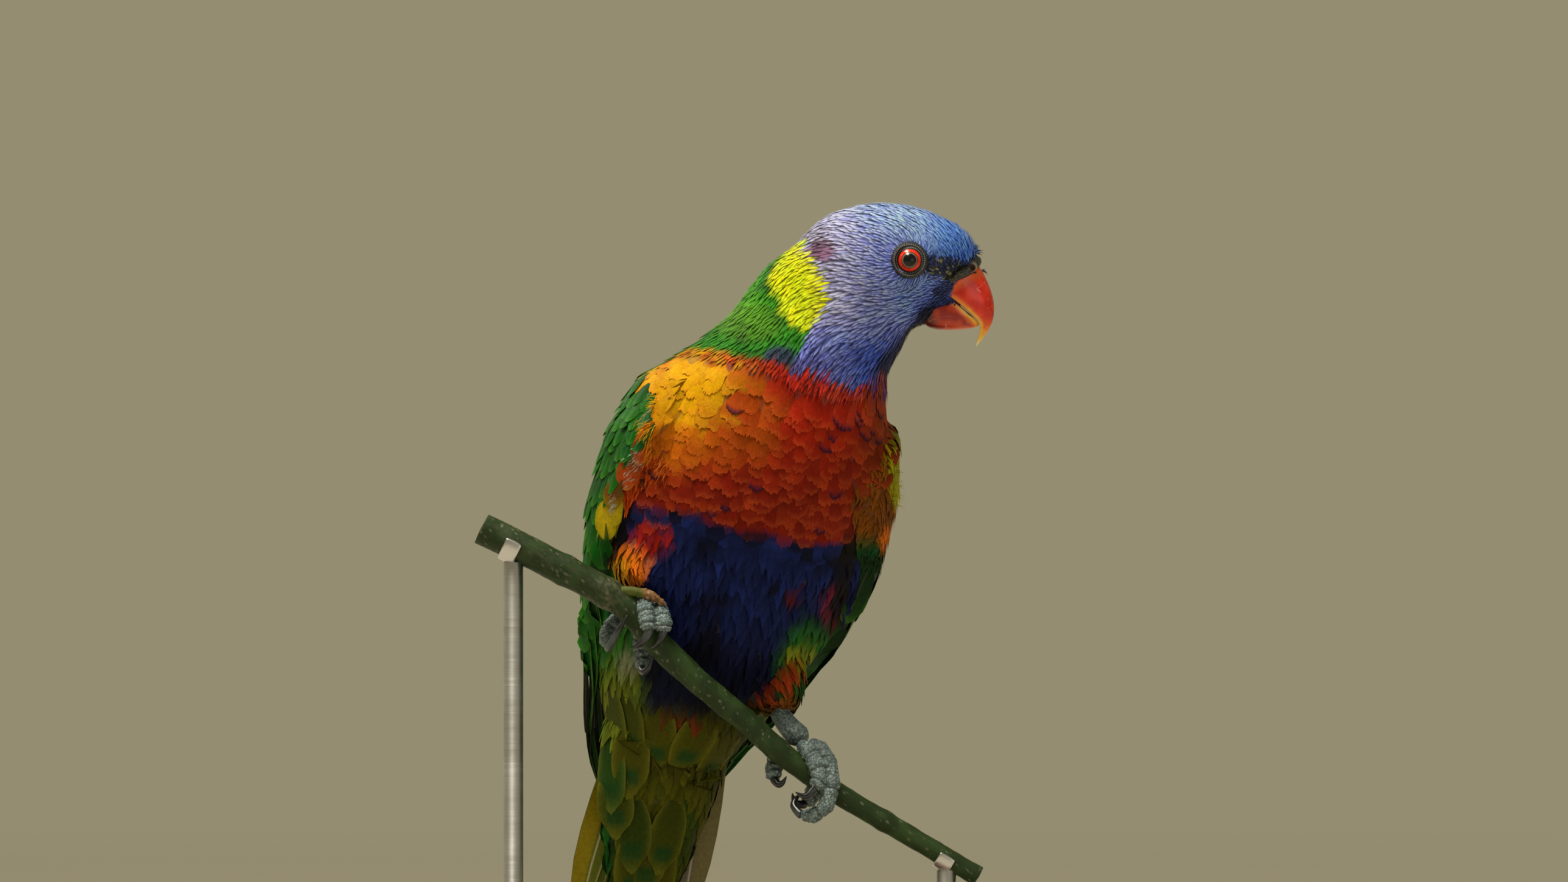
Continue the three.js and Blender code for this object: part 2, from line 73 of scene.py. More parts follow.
# The studio: a pale table that fades into a pale warm-grey room, a big soft lamp high on the
# left, a smaller one behind for the lit rim, and a weak one in front.
def hex_colour(code):
    """An sRGB hex value as linear red, green, blue and alpha."""
    parts = [int(code[i:i + 2], 16) / 255 for i in (1, 3, 5)]
    return tuple(c / 12.92 if c <= 0.04045 else ((c + 0.055) / 1.055) ** 2.4 for c in parts) + (1,)


def add_node(tree, kind, inputs=None, output=0, **settings):
    """Adds a shader node and returns one of its outputs, if it has any. Each input is a value or
    such an output."""
    made = tree.nodes.new("ShaderNode" + kind)
    for name, value in settings.items():
        setattr(made, name, value)
    for key, value in (inputs or {}).items():
        if isinstance(value, bpy.types.NodeSocket):
            tree.links.new(value, made.inputs[key])
        else:
            made.inputs[key].default_value = value
    return made.outputs[output] if made.outputs else None


def new_finish(name):
    """An empty material and its node tree."""
    finish = bpy.data.materials.new(name)
    finish.use_nodes = True
    finish.node_tree.nodes.clear()
    return finish, finish.node_tree


def finished_mesh(name, form):
    """A mesh from a bmesh, which is freed."""
    mesh = bpy.data.meshes.new(name)
    form.to_mesh(mesh)
    form.free()
    return mesh


ROOM_COLOUR = "#cbc19c"
TABLE_COLOUR = "#cbc5b6"
TABLE_RADIUS = 4.0
TABLE_FADE = (0.5, 2.6)          # metres from the stand over which the table melts into the room

room = bpy.data.worlds.new("room")
room.use_nodes = True
room.node_tree.nodes.clear()
glow = add_node(room.node_tree, "Background", {"Color": hex_colour(ROOM_COLOUR), "Strength": 0.5})
add_node(room.node_tree, "OutputWorld", {"Surface": glow})
bpy.context.scene.world = room
bpy.context.scene.view_settings.view_transform = "Standard"

table_finish, tree = new_finish("matt painted table")
place = add_node(tree, "TexCoord", output="Object")
far = add_node(tree, "VectorMath", {0: place}, "Value", operation="LENGTH")
fade = add_node(tree, "MapRange", {"Value": far, "From Min": TABLE_FADE[0], "From Max": TABLE_FADE[1]},
                interpolation_type="SMOOTHSTEP")
grain = add_node(tree, "TexNoise", {"Vector": place, "Scale": 60.0, "Detail": 6.0})
tone = add_node(tree, "MapRange", {"Value": grain, "To Min": 0.95, "To Max": 1.05})
paint = add_node(tree, "VectorMath", {0: hex_colour(TABLE_COLOUR)[:3], "Scale": tone}, operation="SCALE")
matt = add_node(tree, "BsdfPrincipled", {"Base Color": paint, "Roughness": 0.9})
melt = add_node(tree, "MixShader", {0: fade, 1: matt, 2: add_node(tree, "BsdfTransparent")})
add_node(tree, "OutputMaterial", {"Surface": melt})

table = bmesh.new()
bmesh.ops.create_circle(table, cap_ends=True, segments=96, radius=TABLE_RADIUS)
table_mesh = finished_mesh("table", table)
table_mesh.materials.append(table_finish)
put_in_scene("table", table_mesh)


def hang_lamp(name, place, aim, size, watts, colour):
    """A square soft lamp at one place, turned to another, in metres."""
    lamp = bpy.data.lights.new(name, "AREA")
    lamp.size = size
    lamp.energy = watts
    lamp.color = hex_colour(colour)[:3]
    holder = put_in_scene(name, lamp)
    holder.location = place
    holder.rotation_euler = (Vector(aim) - Vector(place)).to_track_quat("-Z", "Y").to_euler()


BIRD_MIDDLE = (0.01, 0, 0.2)
hang_lamp("high lamp", (-0.3, -0.32, 1.45), BIRD_MIDDLE, 0.5, 24, "#fff6e6")
hang_lamp("rim lamp", (-0.75, 0.9, 0.95), BIRD_MIDDLE, 0.5, 4.5, "#fff8ec")
hang_lamp("front lamp", (0.9, -1.3, 0.35), BIRD_MIDDLE, 0.9, 2.5, "#eef3ff")


# The skin under the feathers: one closed hide over head, neck, trunk, thighs, wings and the base
# of the undertail. It is drawn over the construction solids, smoothed, and drawn in by the coat.
FLESH = ["head", "neck", "trunk", "thigh_right", "thigh_left", "wing_right", "wing_left",
         "undertail_coverts"]
BODY, WING_RIGHT, WING_LEFT, THIGH_RIGHT, THIGH_LEFT, UNDERTAIL = range(6)
TRACT = [BODY, BODY, BODY, THIGH_RIGHT, THIGH_LEFT, WING_RIGHT, WING_LEFT, UNDERTAIL]
SWELL = 0.4              # millimetres each solid is swelled, to close the cuts between them
SKIN_GRID = 1.1          # millimetres between points of the skin
EYE_MIDDLES = np.array(((54.6, -25.6, 269.7), (54.6, 1.6, 269.7)))
BILL_ROOT = np.array((72.0, -12.0, 262.0))
HEAD_Y = -12.0           # the middle plane of head and bill


def smoothstep(low, high, value):
    """0 at low and 1 at high, easing in between. Low may be above high."""
    share = np.clip((value - low) / (high - low), 0, 1)
    return share * share * (3 - 2 * share)


def merged_copy(name):
    """A bmesh of a construction solid with its doubled points merged, in millimetres."""
    solid = bmesh.new()
    solid.from_mesh(nodes[name].data)
    bmesh.ops.remove_doubles(solid, verts=solid.verts, dist=1e-6)
    bmesh.ops.scale(solid, vec=(1 / MM,) * 3, verts=solid.verts)
    solid.normal_update()
    return solid


def solid_tree(names):
    """A search tree over construction solids, in millimetres, and the number of each face's solid."""
    points, faces, owners = [], [], []
    for number, name in enumerate(names):
        solid = merged_copy(name)
        first = len(points)
        points += [vert.co.copy() for vert in solid.verts]
        faces += [[first + vert.index for vert in face.verts] for face in solid.faces]
        owners += [number] * len(solid.faces)
        solid.free()
    return BVHTree.FromPolygons(points, faces), owners


def swelled_hull(names, swell, grid, passes):
    """Several solids, swelled, as one closed smooth mesh of even faces, in millimetres."""
    hull = bpy.data.meshes.new("hull")
    joined = bmesh.new()
    for name in names:
        solid = merged_copy(name)
        for vert in solid.verts:
            vert.co += vert.normal * swell
        solid.to_mesh(hull)
        solid.free()
        joined.from_mesh(hull)
    joined.to_mesh(hull)
    joined.free()
    shell = put_in_scene("hull", hull)
    even = shell.modifiers.new("even", "REMESH")
    even.mode = "VOXEL"
    even.voxel_size = grid
    soft = shell.modifiers.new("soft", "SMOOTH")
    soft.iterations = passes
    view_layer = bpy.context.evaluated_depsgraph_get()
    made = bpy.data.meshes.new_from_object(shell.evaluated_get(view_layer))
    bpy.data.objects.remove(shell)
    return made


def read_points(mesh, what="co"):
    """The points of a mesh, or their normals, as rows of three."""
    values = np.zeros(len(mesh.vertices) * 3)
    source = mesh.vertices if what == "co" else mesh.vertex_normals
    source.foreach_get("co" if what == "co" else "vector", values)
    return values.reshape(-1, 3)


def nearest_on(tree, points):
    """Nearest place, normal and face of a search tree for each point."""
    places = np.empty_like(points)
    normals = np.empty_like(points)
    faces = np.empty(len(points), int)
    for i, point in enumerate(points):
        places[i], normals[i], faces[i], _ = tree.find_nearest(point)
    return places, normals, faces


flesh_tree, owners = solid_tree(FLESH)
flesh_tract = np.array(TRACT)[owners]

# The yellow feathers of the shoulder puff out over the bend of the right wing as far as this edge
PUFF_EDGE_Z = (206, 211.6, 219.5, 229.7, 238.3, 244)
PUFF_EDGE_X = (-19, -23.8, -24.6, -21.8, -24.2, -18)


def tract_of(points):
    """Which part of the body each point lies on."""
    tract = flesh_tract[nearest_on(flesh_tree, points)[2]]
    past = points[:, 0] - np.interp(points[:, 2], PUFF_EDGE_Z, PUFF_EDGE_X)
    puffed = (tract == WING_RIGHT) & (past > 0) & (points[:, 1] < -5) & (points[:, 2] > 206)
    return np.where(puffed, BODY, tract)


def bare_ring(points, reach):
    """1 at the eyes and the bill's root, falling to 0 at that distance from them."""
    near_eye = np.min([np.linalg.norm(points - middle, axis=1) for middle in EYE_MIDDLES], axis=0)
    near_bill = np.linalg.norm((points - BILL_ROOT) * (1, 0.8, 1), axis=1)
    return np.maximum(smoothstep(5 + reach, 5, near_eye), smoothstep(9 + reach, 9, near_bill))


def coat_depth(points, tract):
    """How far the skin lies inside the outline of the feathers."""
    depth = np.choose(tract, (1.2, 1.2, 1.2, 0.8, 0.8, 1.5))
    on_head = smoothstep(250, 258, points[:, 2]) * smoothstep(22, 30, points[:, 0])
    forehead = smoothstep(64, 72, points[:, 0]) * smoothstep(262, 268, points[:, 2])
    depth = np.where(tract == BODY, depth - 0.5 * on_head - 0.5 * forehead, depth)
    return depth - (depth - 0.15) * bare_ring(points, 4)


skin_mesh = swelled_hull(FLESH, SWELL, SKIN_GRID, 14)
skin_points = read_points(skin_mesh)
skin_tract = tract_of(skin_points)
skin_points -= read_points(skin_mesh, "normal") * (SWELL + coat_depth(skin_points, skin_tract))[:, None]
skin_mesh.vertices.foreach_set("co", (skin_points * MM).ravel())
skin_mesh.update()
skin_mesh.name = "skin"
skin = put_in_scene("skin", skin_mesh)
bpy.context.view_layer.objects.active = skin
skin.select_set(True)
bpy.ops.object.mode_set(mode="EDIT")
bpy.ops.mesh.select_all(action="SELECT")
bpy.ops.uv.smart_project(angle_limit=math.radians(60), island_margin=0.002)
bpy.ops.object.mode_set(mode="OBJECT")
skin_mesh.uv_layers[0].name = "OFBake"
skin.select_set(False)

skin_mesh.calc_loop_triangles()
triangle_count = len(skin_mesh.loop_triangles)
skin_faces, skin_loops = np.zeros((2, triangle_count * 3), int)
skin_mesh.loop_triangles.foreach_get("vertices", skin_faces)
skin_mesh.loop_triangles.foreach_get("loops", skin_loops)
skin_faces = skin_faces.reshape(-1, 3)
skin_map = np.zeros(len(skin_mesh.loops) * 2)
skin_mesh.uv_layers["OFBake"].data.foreach_get("uv", skin_map)
skin_map = skin_map.reshape(-1, 2)[skin_loops].reshape(-1, 3, 2)
skin_tree = BVHTree.FromPolygons(skin_points.tolist(), skin_faces.tolist())

# The markings: one set of colours by place, read by the skin and by every feather. Blue head,
# yellow-green collar, green back and wings, orange and red breast, navy belly, mottled flanks.
BODY_YAW = math.radians(10)
LEAN = 0.22
RECLINE = 0.2


def body_frame(points):
    """Sideways and backward distance from the body's leaning midline, in millimetres."""
    right = points[:, 0] - 9 - (points[:, 2] - 226) * LEAN
    behind = points[:, 1] - 12 + (points[:, 2] - 165) * RECLINE
    sideways = right * math.cos(BODY_YAW) + behind * math.sin(BODY_YAW)
    return sideways, behind * math.cos(BODY_YAW) - right * math.sin(BODY_YAW)


def ripple(points, size, seed):
    """Smooth noise from about -1 to 1, with swirls of a size in millimetres."""
    shift = Vector((seed * 17.3, seed * 5.1, seed * 9.7))
    scaled = points / size
    return np.array([noise.noise(Vector(point) + shift) for point in scaled]) * 1.6


def spot(points, x, z, wide, high):
    """1 inside an oval in front view, easing to 0 outside it."""
    far = np.hypot((points[:, 0] - x) / wide, (points[:, 2] - z) / high)
    return smoothstep(1.25, 0.75, far)


def streak(points, start, end, wide):
    """1 along a line in front view, easing to 0 at a distance from it."""
    start, end = np.array(start), np.array(end)
    flat = points[:, [0, 2]] - start
    line = end - start
    share = np.clip(flat @ line / (line @ line), 0, 1)
    return smoothstep(wide * 1.25, wide * 0.7, np.linalg.norm(flat - share[:, None] * line, axis=1))


def plain(points, code):
    """One hex colour for every point."""
    return np.tile(hex_colour(code)[:3], (len(points), 1))


def blend(colour, layers):
    """Mixes rows of colour with hex colours in turn, each by its own amount at every point."""
    for code, amount in layers:
        colour = colour + (np.array(hex_colour(code)[:3]) - colour) * np.clip(amount, 0, 1)[:, None]
    return colour


# Edges between colours in front view, as heights for places across or the other way round
FACE_EDGE_Z = (233, 236, 246, 253, 259.6, 268, 274.8, 282)
FACE_EDGE_X = (16, 18.7, 22.8, 27.1, 29.5, 26.8, 19.5, 11)
COLLAR_EDGE_Z = (246, 250, 254.8, 263.9, 271.6, 277)
COLLAR_EDGE_X = (22.8, 18.7, 14.8, 12.1, 15.9, 19)
BREAST_TOP_X = (-24, -14, -2, 6.5, 16.8, 24.3, 37.4, 48, 60)
BREAST_TOP_Z = (243, 243, 241.7, 239.8, 237, 233.3, 230.5, 232.7, 233)
BELLY_TOP_X = (-31.2, -22, -12.9, -3.2, 3.9, 11, 17.9, 25, 32, 45)
BELLY_TOP_Z = (194.4, 193.6, 192.9, 189.3, 186.9, 186.9, 183.7, 183, 183.7, 182)


def face_share(points, wobble=0.0):
    """1 on the blue head and throat, 0 behind their edge."""
    x, z = points[:, 0] + wobble, points[:, 2] + wobble
    past = x - np.interp(z, FACE_EDGE_Z, FACE_EDGE_X)
    above = z - np.interp(x, BREAST_TOP_X, BREAST_TOP_Z)
    return smoothstep(-0.8, 0.8, past) * smoothstep(-0.8, 0.8, above)


def head_colour(points, swirl):
    """Cornflower forehead and crown, violet cheeks, dull lilac nape, deep blue throat."""
    x, z = points[:, 0], points[:, 2]
    # Under the bill and down the chin the throat's own deep blue is darkened to near-black: painted shade
    # from the bill
    shaded_chin = smoothstep(14, 8, np.hypot(x - 66, z - 249)) + streak(points, (61, 249), (49, 235), 5.5)
    grain = ripple(points, 1.3, 4)
    rough = points + grain[:, None] * 1.1
    lores = (streak(rough, (58.5, 268.6), (73, 267), 3.7) * 0.9
             + streak(rough, (63, 260), (72, 266.5), 2.2) * 0.8)
    return blend(plain(points, "#6c7cec"), [
        ("#7c9aff", smoothstep(272, 283, z + (x - 50) * 0.25)),
        ("#4c80ff", smoothstep(54, 68, x) * smoothstep(264, 271, z)),
        ("#a09cc0", smoothstep(46, 26, x) * smoothstep(244, 256, z) * 0.8),
        ("#5a4352", smoothstep(0.1, 0.7, swirl) * smoothstep(46, 30, x) * 0.35),
        ("#2c4ab4", smoothstep(250, 240, z) * smoothstep(26, 42, x)),
        ("#3c366c", smoothstep(246, 236, z) * smoothstep(38, 22, x) * 0.8),
        ("#5e2230", spot(points, 26.9, 272.7, 4.6, 3.2) * 0.8),
        ("#5f5058", spot(points, 23.5, 277, 6, 3) * 0.6),
        ("#6484ff", spot(points, 58, 258.5, 10, 9) * 0.7),
        # painted shade under the bill and chin
        ("#0a1330", shaded_chin * 0.92),
        ("#191a1a", lores),
        ("#86854a", spot(points, 64.5, 267, 7, 3.4) * smoothstep(0, 0.5, grain) * 0.65),
    ])


# Deep shade between the body and each wing: a line's start and end in front view, and half its width
UNDERWING_SHADE = (((-24.8, 206.5), (-29.5, 196.5), 1.4), ((-29.5, 196.5), (-37.5, 178), 2.2),
                   ((41.5, 196), (36.5, 181), 2.2), ((36.5, 181), (32.5, 160), 2.4))


def body_colour(points, swirl, fine):
    """Colours of the head, neck, breast, belly, flanks and back."""
    wobble = swirl * 1.1 + fine * 0.7
    x, z = points[:, 0] + wobble, points[:, 2] + fine
    back = body_frame(points)[1]
    green = blend(plain(points, "#2c8418"), [
        ("#185c18", smoothstep(0.0, 0.8, swirl)),
        ("#62bf14", smoothstep(12, 2, x - np.interp(z, COLLAR_EDGE_Z, COLLAR_EDGE_X) + 12)
         * smoothstep(244, 254, z) * 0.6),
        ("#5c7a1e", spot(points, 6, 250.5, 10, 6) * 0.4),
        ("#30245a", spot(points, 15, 240, 5, 3.4) * 0.85),
    ])

    shoulder = np.hypot((x + 12) / 27, (z - 224) / 21)
    sun = np.hypot((x + 14) / 17, (z - 231) / 13)
    red = blend(plain(points, "#aa2009"), [
        # painted shade: the breast darker towards the bottom, away from the lamp above
        ("#661405", smoothstep(222, 196, z + fine * 4) * 0.75),
        ("#bc4412", smoothstep(0.2, 0.8, fine) * 0.3),
        ("#a84504", smoothstep(1.25, 0.6, shoulder + swirl * 0.25)),
        ("#c86a06", spot(points, -17, 216, 11, 10) * smoothstep(-0.8, 0.3, fine)),
        ("#d49c00", smoothstep(1.3, 0.5, sun + fine * 0.35)),
        ("#7e3c0a", smoothstep(38, 46, x) * smoothstep(186, 200, z) * 0.7),
        # paler salmon on the upper right of the breast, partly the feathers' own colour and partly a
        # painted highlight
        ("#cf4a30", spot(points, 38, 226.5, 11, 6) * smoothstep(-0.4, 0.6, fine) * 0.5),
        # painted shade: the breast's far right side darker
        ("#74200a", smoothstep(30, 42, x) * smoothstep(226, 214, z) * 0.6),
        ("#5a2470", streak(points, (38, 231), (49, 229), 2.2) * smoothstep(-0.2, 0.5, fine)),
        ("#e25816", spot(points, -0.5, 243, 2.2, 4.5)),
    ])

    left_low = smoothstep(-24, -32, x) * smoothstep(166, 158, z)
    navy = blend(plain(points, "#141f52"), [
        ("#080c22", smoothstep(-0.1, 0.7, swirl)),
        # painted shade: the belly darker towards the bottom
        ("#090a16", smoothstep(164, 138, z) * 0.8),
        # painted glints: paler blue flecks on the upper belly
        ("#1c3180", smoothstep(0.2, 0.8, fine) * smoothstep(156, 170, z) * 0.5),
        ("#9c1b12", spot(points, -24, 184.5, 6.4, 5.6) * smoothstep(-0.7, 0.0, fine)),
        ("#7a1610", spot(points, 31.5, 163, 3.6, 7) * smoothstep(-0.6, 0.2, fine) * 0.65),
        ("#701a10", spot(points, 19, 166, 1.8, 2.4) * 0.4),
        ("#d46a10", spot(points, -31, 176, 6, 6.6)),
        ("#c88c12", spot(points, -34.5, 174, 3.6, 5)),
        ("#1f5a18", spot(points, 24, 143, 10, 15)),
        ("#7c8618", spot(points, 21, 147, 5, 4) * 0.9),
        ("#9a3814", streak(points, (20, 143), (9, 129), 4) * smoothstep(-0.5, 0.2, fine)),
        ("#b04c18", spot(points, 17, 131, 5, 4) * 0.8),
        ("#3d3f09", smoothstep(134, 126, z - np.abs(x + 10) * 0.12)),
        ("#702410", spot(points, -16, 124, 8, 5) * 0.8),
        ("#2c641a", left_low),
        ("#74761a", left_low * smoothstep(150, 138, z) * 0.7),
        ("#7d7c68", spot(points, -31, 146, 4.2, 4.2) * 0.7),
    ])

    below = smoothstep(0.8, -0.8, z - np.interp(x, BELLY_TOP_X, BELLY_TOP_Z))
    front = red + (navy - red) * below[:, None]
    shade = sum(streak(points, *line) for line in UNDERWING_SHADE)
    front = blend(front, [("#0e0a07", shade * 0.9)])
    under_throat = 1.8 * smoothstep(16, 24, x)
    on_front = smoothstep(3, -3, back) * smoothstep(
        0.8, -0.8, z - np.interp(x, BREAST_TOP_X, BREAST_TOP_Z) - under_throat)
    colour = green + (front - green) * on_front[:, None]
    past_face = x - np.interp(z, FACE_EDGE_Z, FACE_EDGE_X)
    past_collar = x - np.interp(z, COLLAR_EDGE_Z, COLLAR_EDGE_X)
    collar = smoothstep(-1.4, 1.4, past_collar) * smoothstep(0.8, -0.8, past_face) * smoothstep(245, 249, z)
    colour = blend(colour, [
        ("#d3e40c", collar),
        ("#efe400", collar * smoothstep(0.0, 0.6, fine) * 0.5),
    ])
    face = face_share(points, wobble)
    return colour + (head_colour(points, swirl) - colour) * face[:, None]


def wing_colour(points, swirl, fine, tract):
    """Green coverts, an orange and yellow strip at the leading edge, darker lower edge."""
    x, z = points[:, 0], points[:, 2]
    back = body_frame(points)[1]
    right = tract == WING_RIGHT
    lining = streak(points, (-23.5, 210.5), (-36, 190), 3.6) * right * (back < -6)
    left_edge = (tract == WING_LEFT) * smoothstep(-8, -15, back)
    outer = x - np.interp(z, (190, 196, 204, 212, 219), (52, 50, 48.5, 47.5, 46))
    return blend(plain(points, "#0d5411"), [
        ("#083c10", smoothstep(0.0, 0.7, swirl) * 0.8),
        ("#2f7d12", smoothstep(0.2, 0.8, fine) * 0.3),
        ("#0f4838", smoothstep(-16, -24, back) * smoothstep(-0.3, 0.4, fine) * 0.7),
        ("#b8400f", lining),
        ("#c8ae16", streak(points, (-35.5, 193), (-37.6, 188), 3.2) * right * (back < -6)),
        ("#16301a", streak(points, (-34, 186), (-38, 172), 3) * right * (back < -4) * 0.8),
        ("#7c4409", left_edge * smoothstep(180, 188, z) * smoothstep(222, 214, z)),
        ("#aaa610", left_edge * smoothstep(-1.5, 1, outer) * smoothstep(190, 195, z)
         * smoothstep(226, 219, z)),
        ("#cc680e", left_edge * spot(points, 48, 183.5, 2.4, 4.5)),
        ("#132f10", left_edge * smoothstep(183, 177, z)),
    ])


def markings(points, tract):
    """The colour of the coat at each point, in linear red, green and blue."""
    swirl = ripple(points, 9, 1)
    fine = ripple(points, 3.2, 2)
    colour = body_colour(points, swirl, fine)
    on_wing = (tract == WING_RIGHT) | (tract == WING_LEFT)
    colour[on_wing] = wing_colour(points[on_wing], swirl[on_wing], fine[on_wing], tract[on_wing])
    under = blend(plain(points, "#4a4d08"), [
        ("#1e3d0c", smoothstep(0.1, 0.7, swirl) * 0.7),
        ("#184c18", smoothstep(-34, -39, points[:, 0])),
    ])
    return np.where((tract == UNDERTAIL)[:, None], under, colour)


def give_colours(mesh, colours):
    """Keeps one colour for each point of a mesh, for its material to read."""
    layer = mesh.color_attributes.new("Markings", "FLOAT_COLOR", "POINT")
    filled = np.ones((len(colours), 4))
    filled[:, :3] = np.clip(colours, 0, 1)
    layer.data.foreach_set("color", filled.ravel())


def grained_finish(name, texture, grain, tones, relief, look, stretch=None):
    """A material that takes its colour from the markings, made lighter and darker by a grain,
    which also raises its surface. Stretch draws the grain out along the piece's own map."""
    finish, tree = new_finish(name)
    tint = add_node(tree, "Attribute", attribute_name="Markings")
    if stretch:
        vane = add_node(tree, "UVMap", uv_map="Vane")
        place = add_node(tree, "Mapping", {"Vector": vane, "Scale": stretch})
    else:
        place = add_node(tree, "TexCoord", output="Object")
    height = add_node(tree, texture, {"Vector": place, **grain})
    tone = add_node(tree, "MapRange", {"Value": height, "To Min": tones[0], "To Max": tones[1]})
    toned = add_node(tree, "VectorMath", {0: tint, "Scale": tone}, operation="SCALE")
    look = {"Base Color": toned, **look}
    if relief:
        strength, distance = relief
        look["Normal"] = add_node(tree, "Bump", {"Height": height, "Strength": strength,
                                                 "Distance": distance * MM})
    add_node(tree, "OutputMaterial", {"Surface": add_node(tree, "BsdfPrincipled", look)})
    return finish


# Hide with pin feathers: the markings, darkened, with a fine pebbled bump
PEBBLE = 0.6                     # millimetres between pin feathers
skin_finish = grained_finish("feathered hide", "TexVoronoi", {"Scale": 1 / (PEBBLE * MM)}, (0.75, 0.35),
                             (0.5, 0.2), {"Roughness": 0.8})


def dress(piece, finish):
    """Gives a piece its material and smooth shading, and hangs it on the root body."""
    piece.data.materials.append(finish)
    piece.data.polygons.foreach_set("use_smooth", np.ones(len(piece.data.polygons), bool))
    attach(piece, "root")
    return piece


def show(name, mesh, finish):
    """Puts a finished mesh in the scene as a piece of the bird."""
    return dress(put_in_scene(name, mesh), finish)


give_colours(skin_mesh, markings(skin_points, skin_tract))
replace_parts(dress(skin, skin_finish), *FLESH)

# The coat: roots are strewn evenly over the skin, and each feather's shaft is laid from its root
# along the lie of the coat, rising a little to its tip so that it covers the next feather's root.
rng = np.random.default_rng(26)


def lie_of_coat(points, normals, tract):
    """The direction the feathers point at each place, along the skin."""
    sideways, back = body_frame(points)
    z = points[:, 2]
    across = np.clip(sideways / 38, -1, 1)
    behind = np.clip(back / 35, -1, 1)
    low = smoothstep(226, 200, z)
    drift_x = (0.26 + 0.28 * across) * low + (0.45 - 0.3 * across) * (1 - low)
    drift_y = (0.26 - 0.22 * behind) * low + (0.16 + 0.31 * behind) * (1 - low)
    lie = np.stack((-drift_x, drift_y, -np.ones(len(z))), axis=1)
    tail_share = np.clip((points[:, 0] + 24 - (z - 98) * 0.12) / 20, -1, 1)
    tail_lie = np.stack((-0.16 - 0.3 * tail_share, 0.3 + 0 * z, -1 + 0 * z), axis=1)
    lie = np.where((tract == UNDERTAIL)[:, None], tail_lie, lie)
    lie = np.where((tract == THIGH_RIGHT)[:, None], (-0.1, -0.5, -0.85), lie)
    lie = np.where((tract == THIGH_LEFT)[:, None], (0.2, -0.5, -0.85), lie)
    lie /= np.linalg.norm(lie, axis=1)[:, None]
    from_bill = points - BILL_ROOT
    far = np.linalg.norm(from_bill, axis=1)
    radial = from_bill / far[:, None]
    on_head = smoothstep(64, 40, far) * (tract == BODY)
    lie += (radial - lie) * on_head[:, None]
    for middle in EYE_MIDDLES:
        away = (points - middle) * (1, 0, 1)
        reach = np.linalg.norm(away, axis=1)
        same_side = (points[:, 1] - HEAD_Y) * (middle[1] - HEAD_Y) > 0
        turn = smoothstep(11, 4, reach) * same_side * 1.6
        lie += away / np.maximum(reach, 0.1)[:, None] * turn[:, None]
    lie -= normals * np.sum(lie * normals, axis=1)[:, None]
    return lie / np.maximum(np.linalg.norm(lie, axis=1), 1e-6)[:, None]


CANDIDATES = 340000
corners = skin_points[skin_faces]
areas = np.linalg.norm(np.cross(corners[:, 1] - corners[:, 0], corners[:, 2] - corners[:, 0]), axis=1)
chosen = rng.choice(triangle_count, CANDIDATES, p=areas / areas.sum())
first, second = rng.random((2, CANDIDATES))
flipped = first + second > 1
first[flipped], second[flipped] = 1 - first[flipped], 1 - second[flipped]
weights = np.stack((1 - first - second, first, second), axis=1)[:, :, None]
vertex_normals = read_points(skin_mesh, "normal")
strewn_normals = (vertex_normals[skin_faces[chosen]] * weights).sum(axis=1)
strewn_normals /= np.linalg.norm(strewn_normals, axis=1)[:, None]
strewn = {
    "place": (corners[chosen] * weights).sum(axis=1),
    "normal": strewn_normals,
    "map": (skin_map[chosen] * weights).sum(axis=1),
    "tract": skin_tract[skin_faces[chosen][:, 0]],
}
strewn["lie"] = lie_of_coat(strewn["place"], strewn["normal"], strewn["tract"])
strewn_place, strewn_tract = strewn["place"], strewn["tract"]
strewn_x, _, strewn_z = strewn_place.T
strewn_back = body_frame(strewn_place)[1]
strewn_face = face_share(strewn_place)
on_body = strewn_tract == BODY


def pick(roots, keep):
    """The roots that a mask or a list of numbers keeps."""
    return {key: value[keep] for key, value in roots.items()}


def spaced_roots(mask, across, along):
    """Roots from the strewn ones, none closer to another than those millimetres."""
    found = pick(strewn, np.flatnonzero(mask))
    count = len(found["place"])
    across = np.broadcast_to(across, count) if np.ndim(across) == 0 else across[mask]
    along = np.broadcast_to(along, count) if np.ndim(along) == 0 else along[mask]
    cell = float(max(across.max(), along.max()))
    cells = {}
    kept = []
    keys = np.floor(found["place"] / cell).astype(int)
    ring = [(i, j, k) for i in (-1, 0, 1) for j in (-1, 0, 1) for k in (-1, 0, 1)]
    places, lies = found["place"], found["lie"]
    for i in range(count):
        key = tuple(keys[i])
        around = [(key[0] + a, key[1] + b, key[2] + c) for a, b, c in ring]
        near = [n for cell_key in around for n in cells.get(cell_key, ())]
        if near:
            away = places[near] - places[i]
            forward = away @ lies[i]
            square = (away * away).sum(axis=1) - forward * forward
            if np.any(square / across[i] ** 2 + (forward / along[i]) ** 2 < 1):
                continue
        kept.append(i)
        cells.setdefault(key, []).append(i)
    return pick(found, np.array(kept))


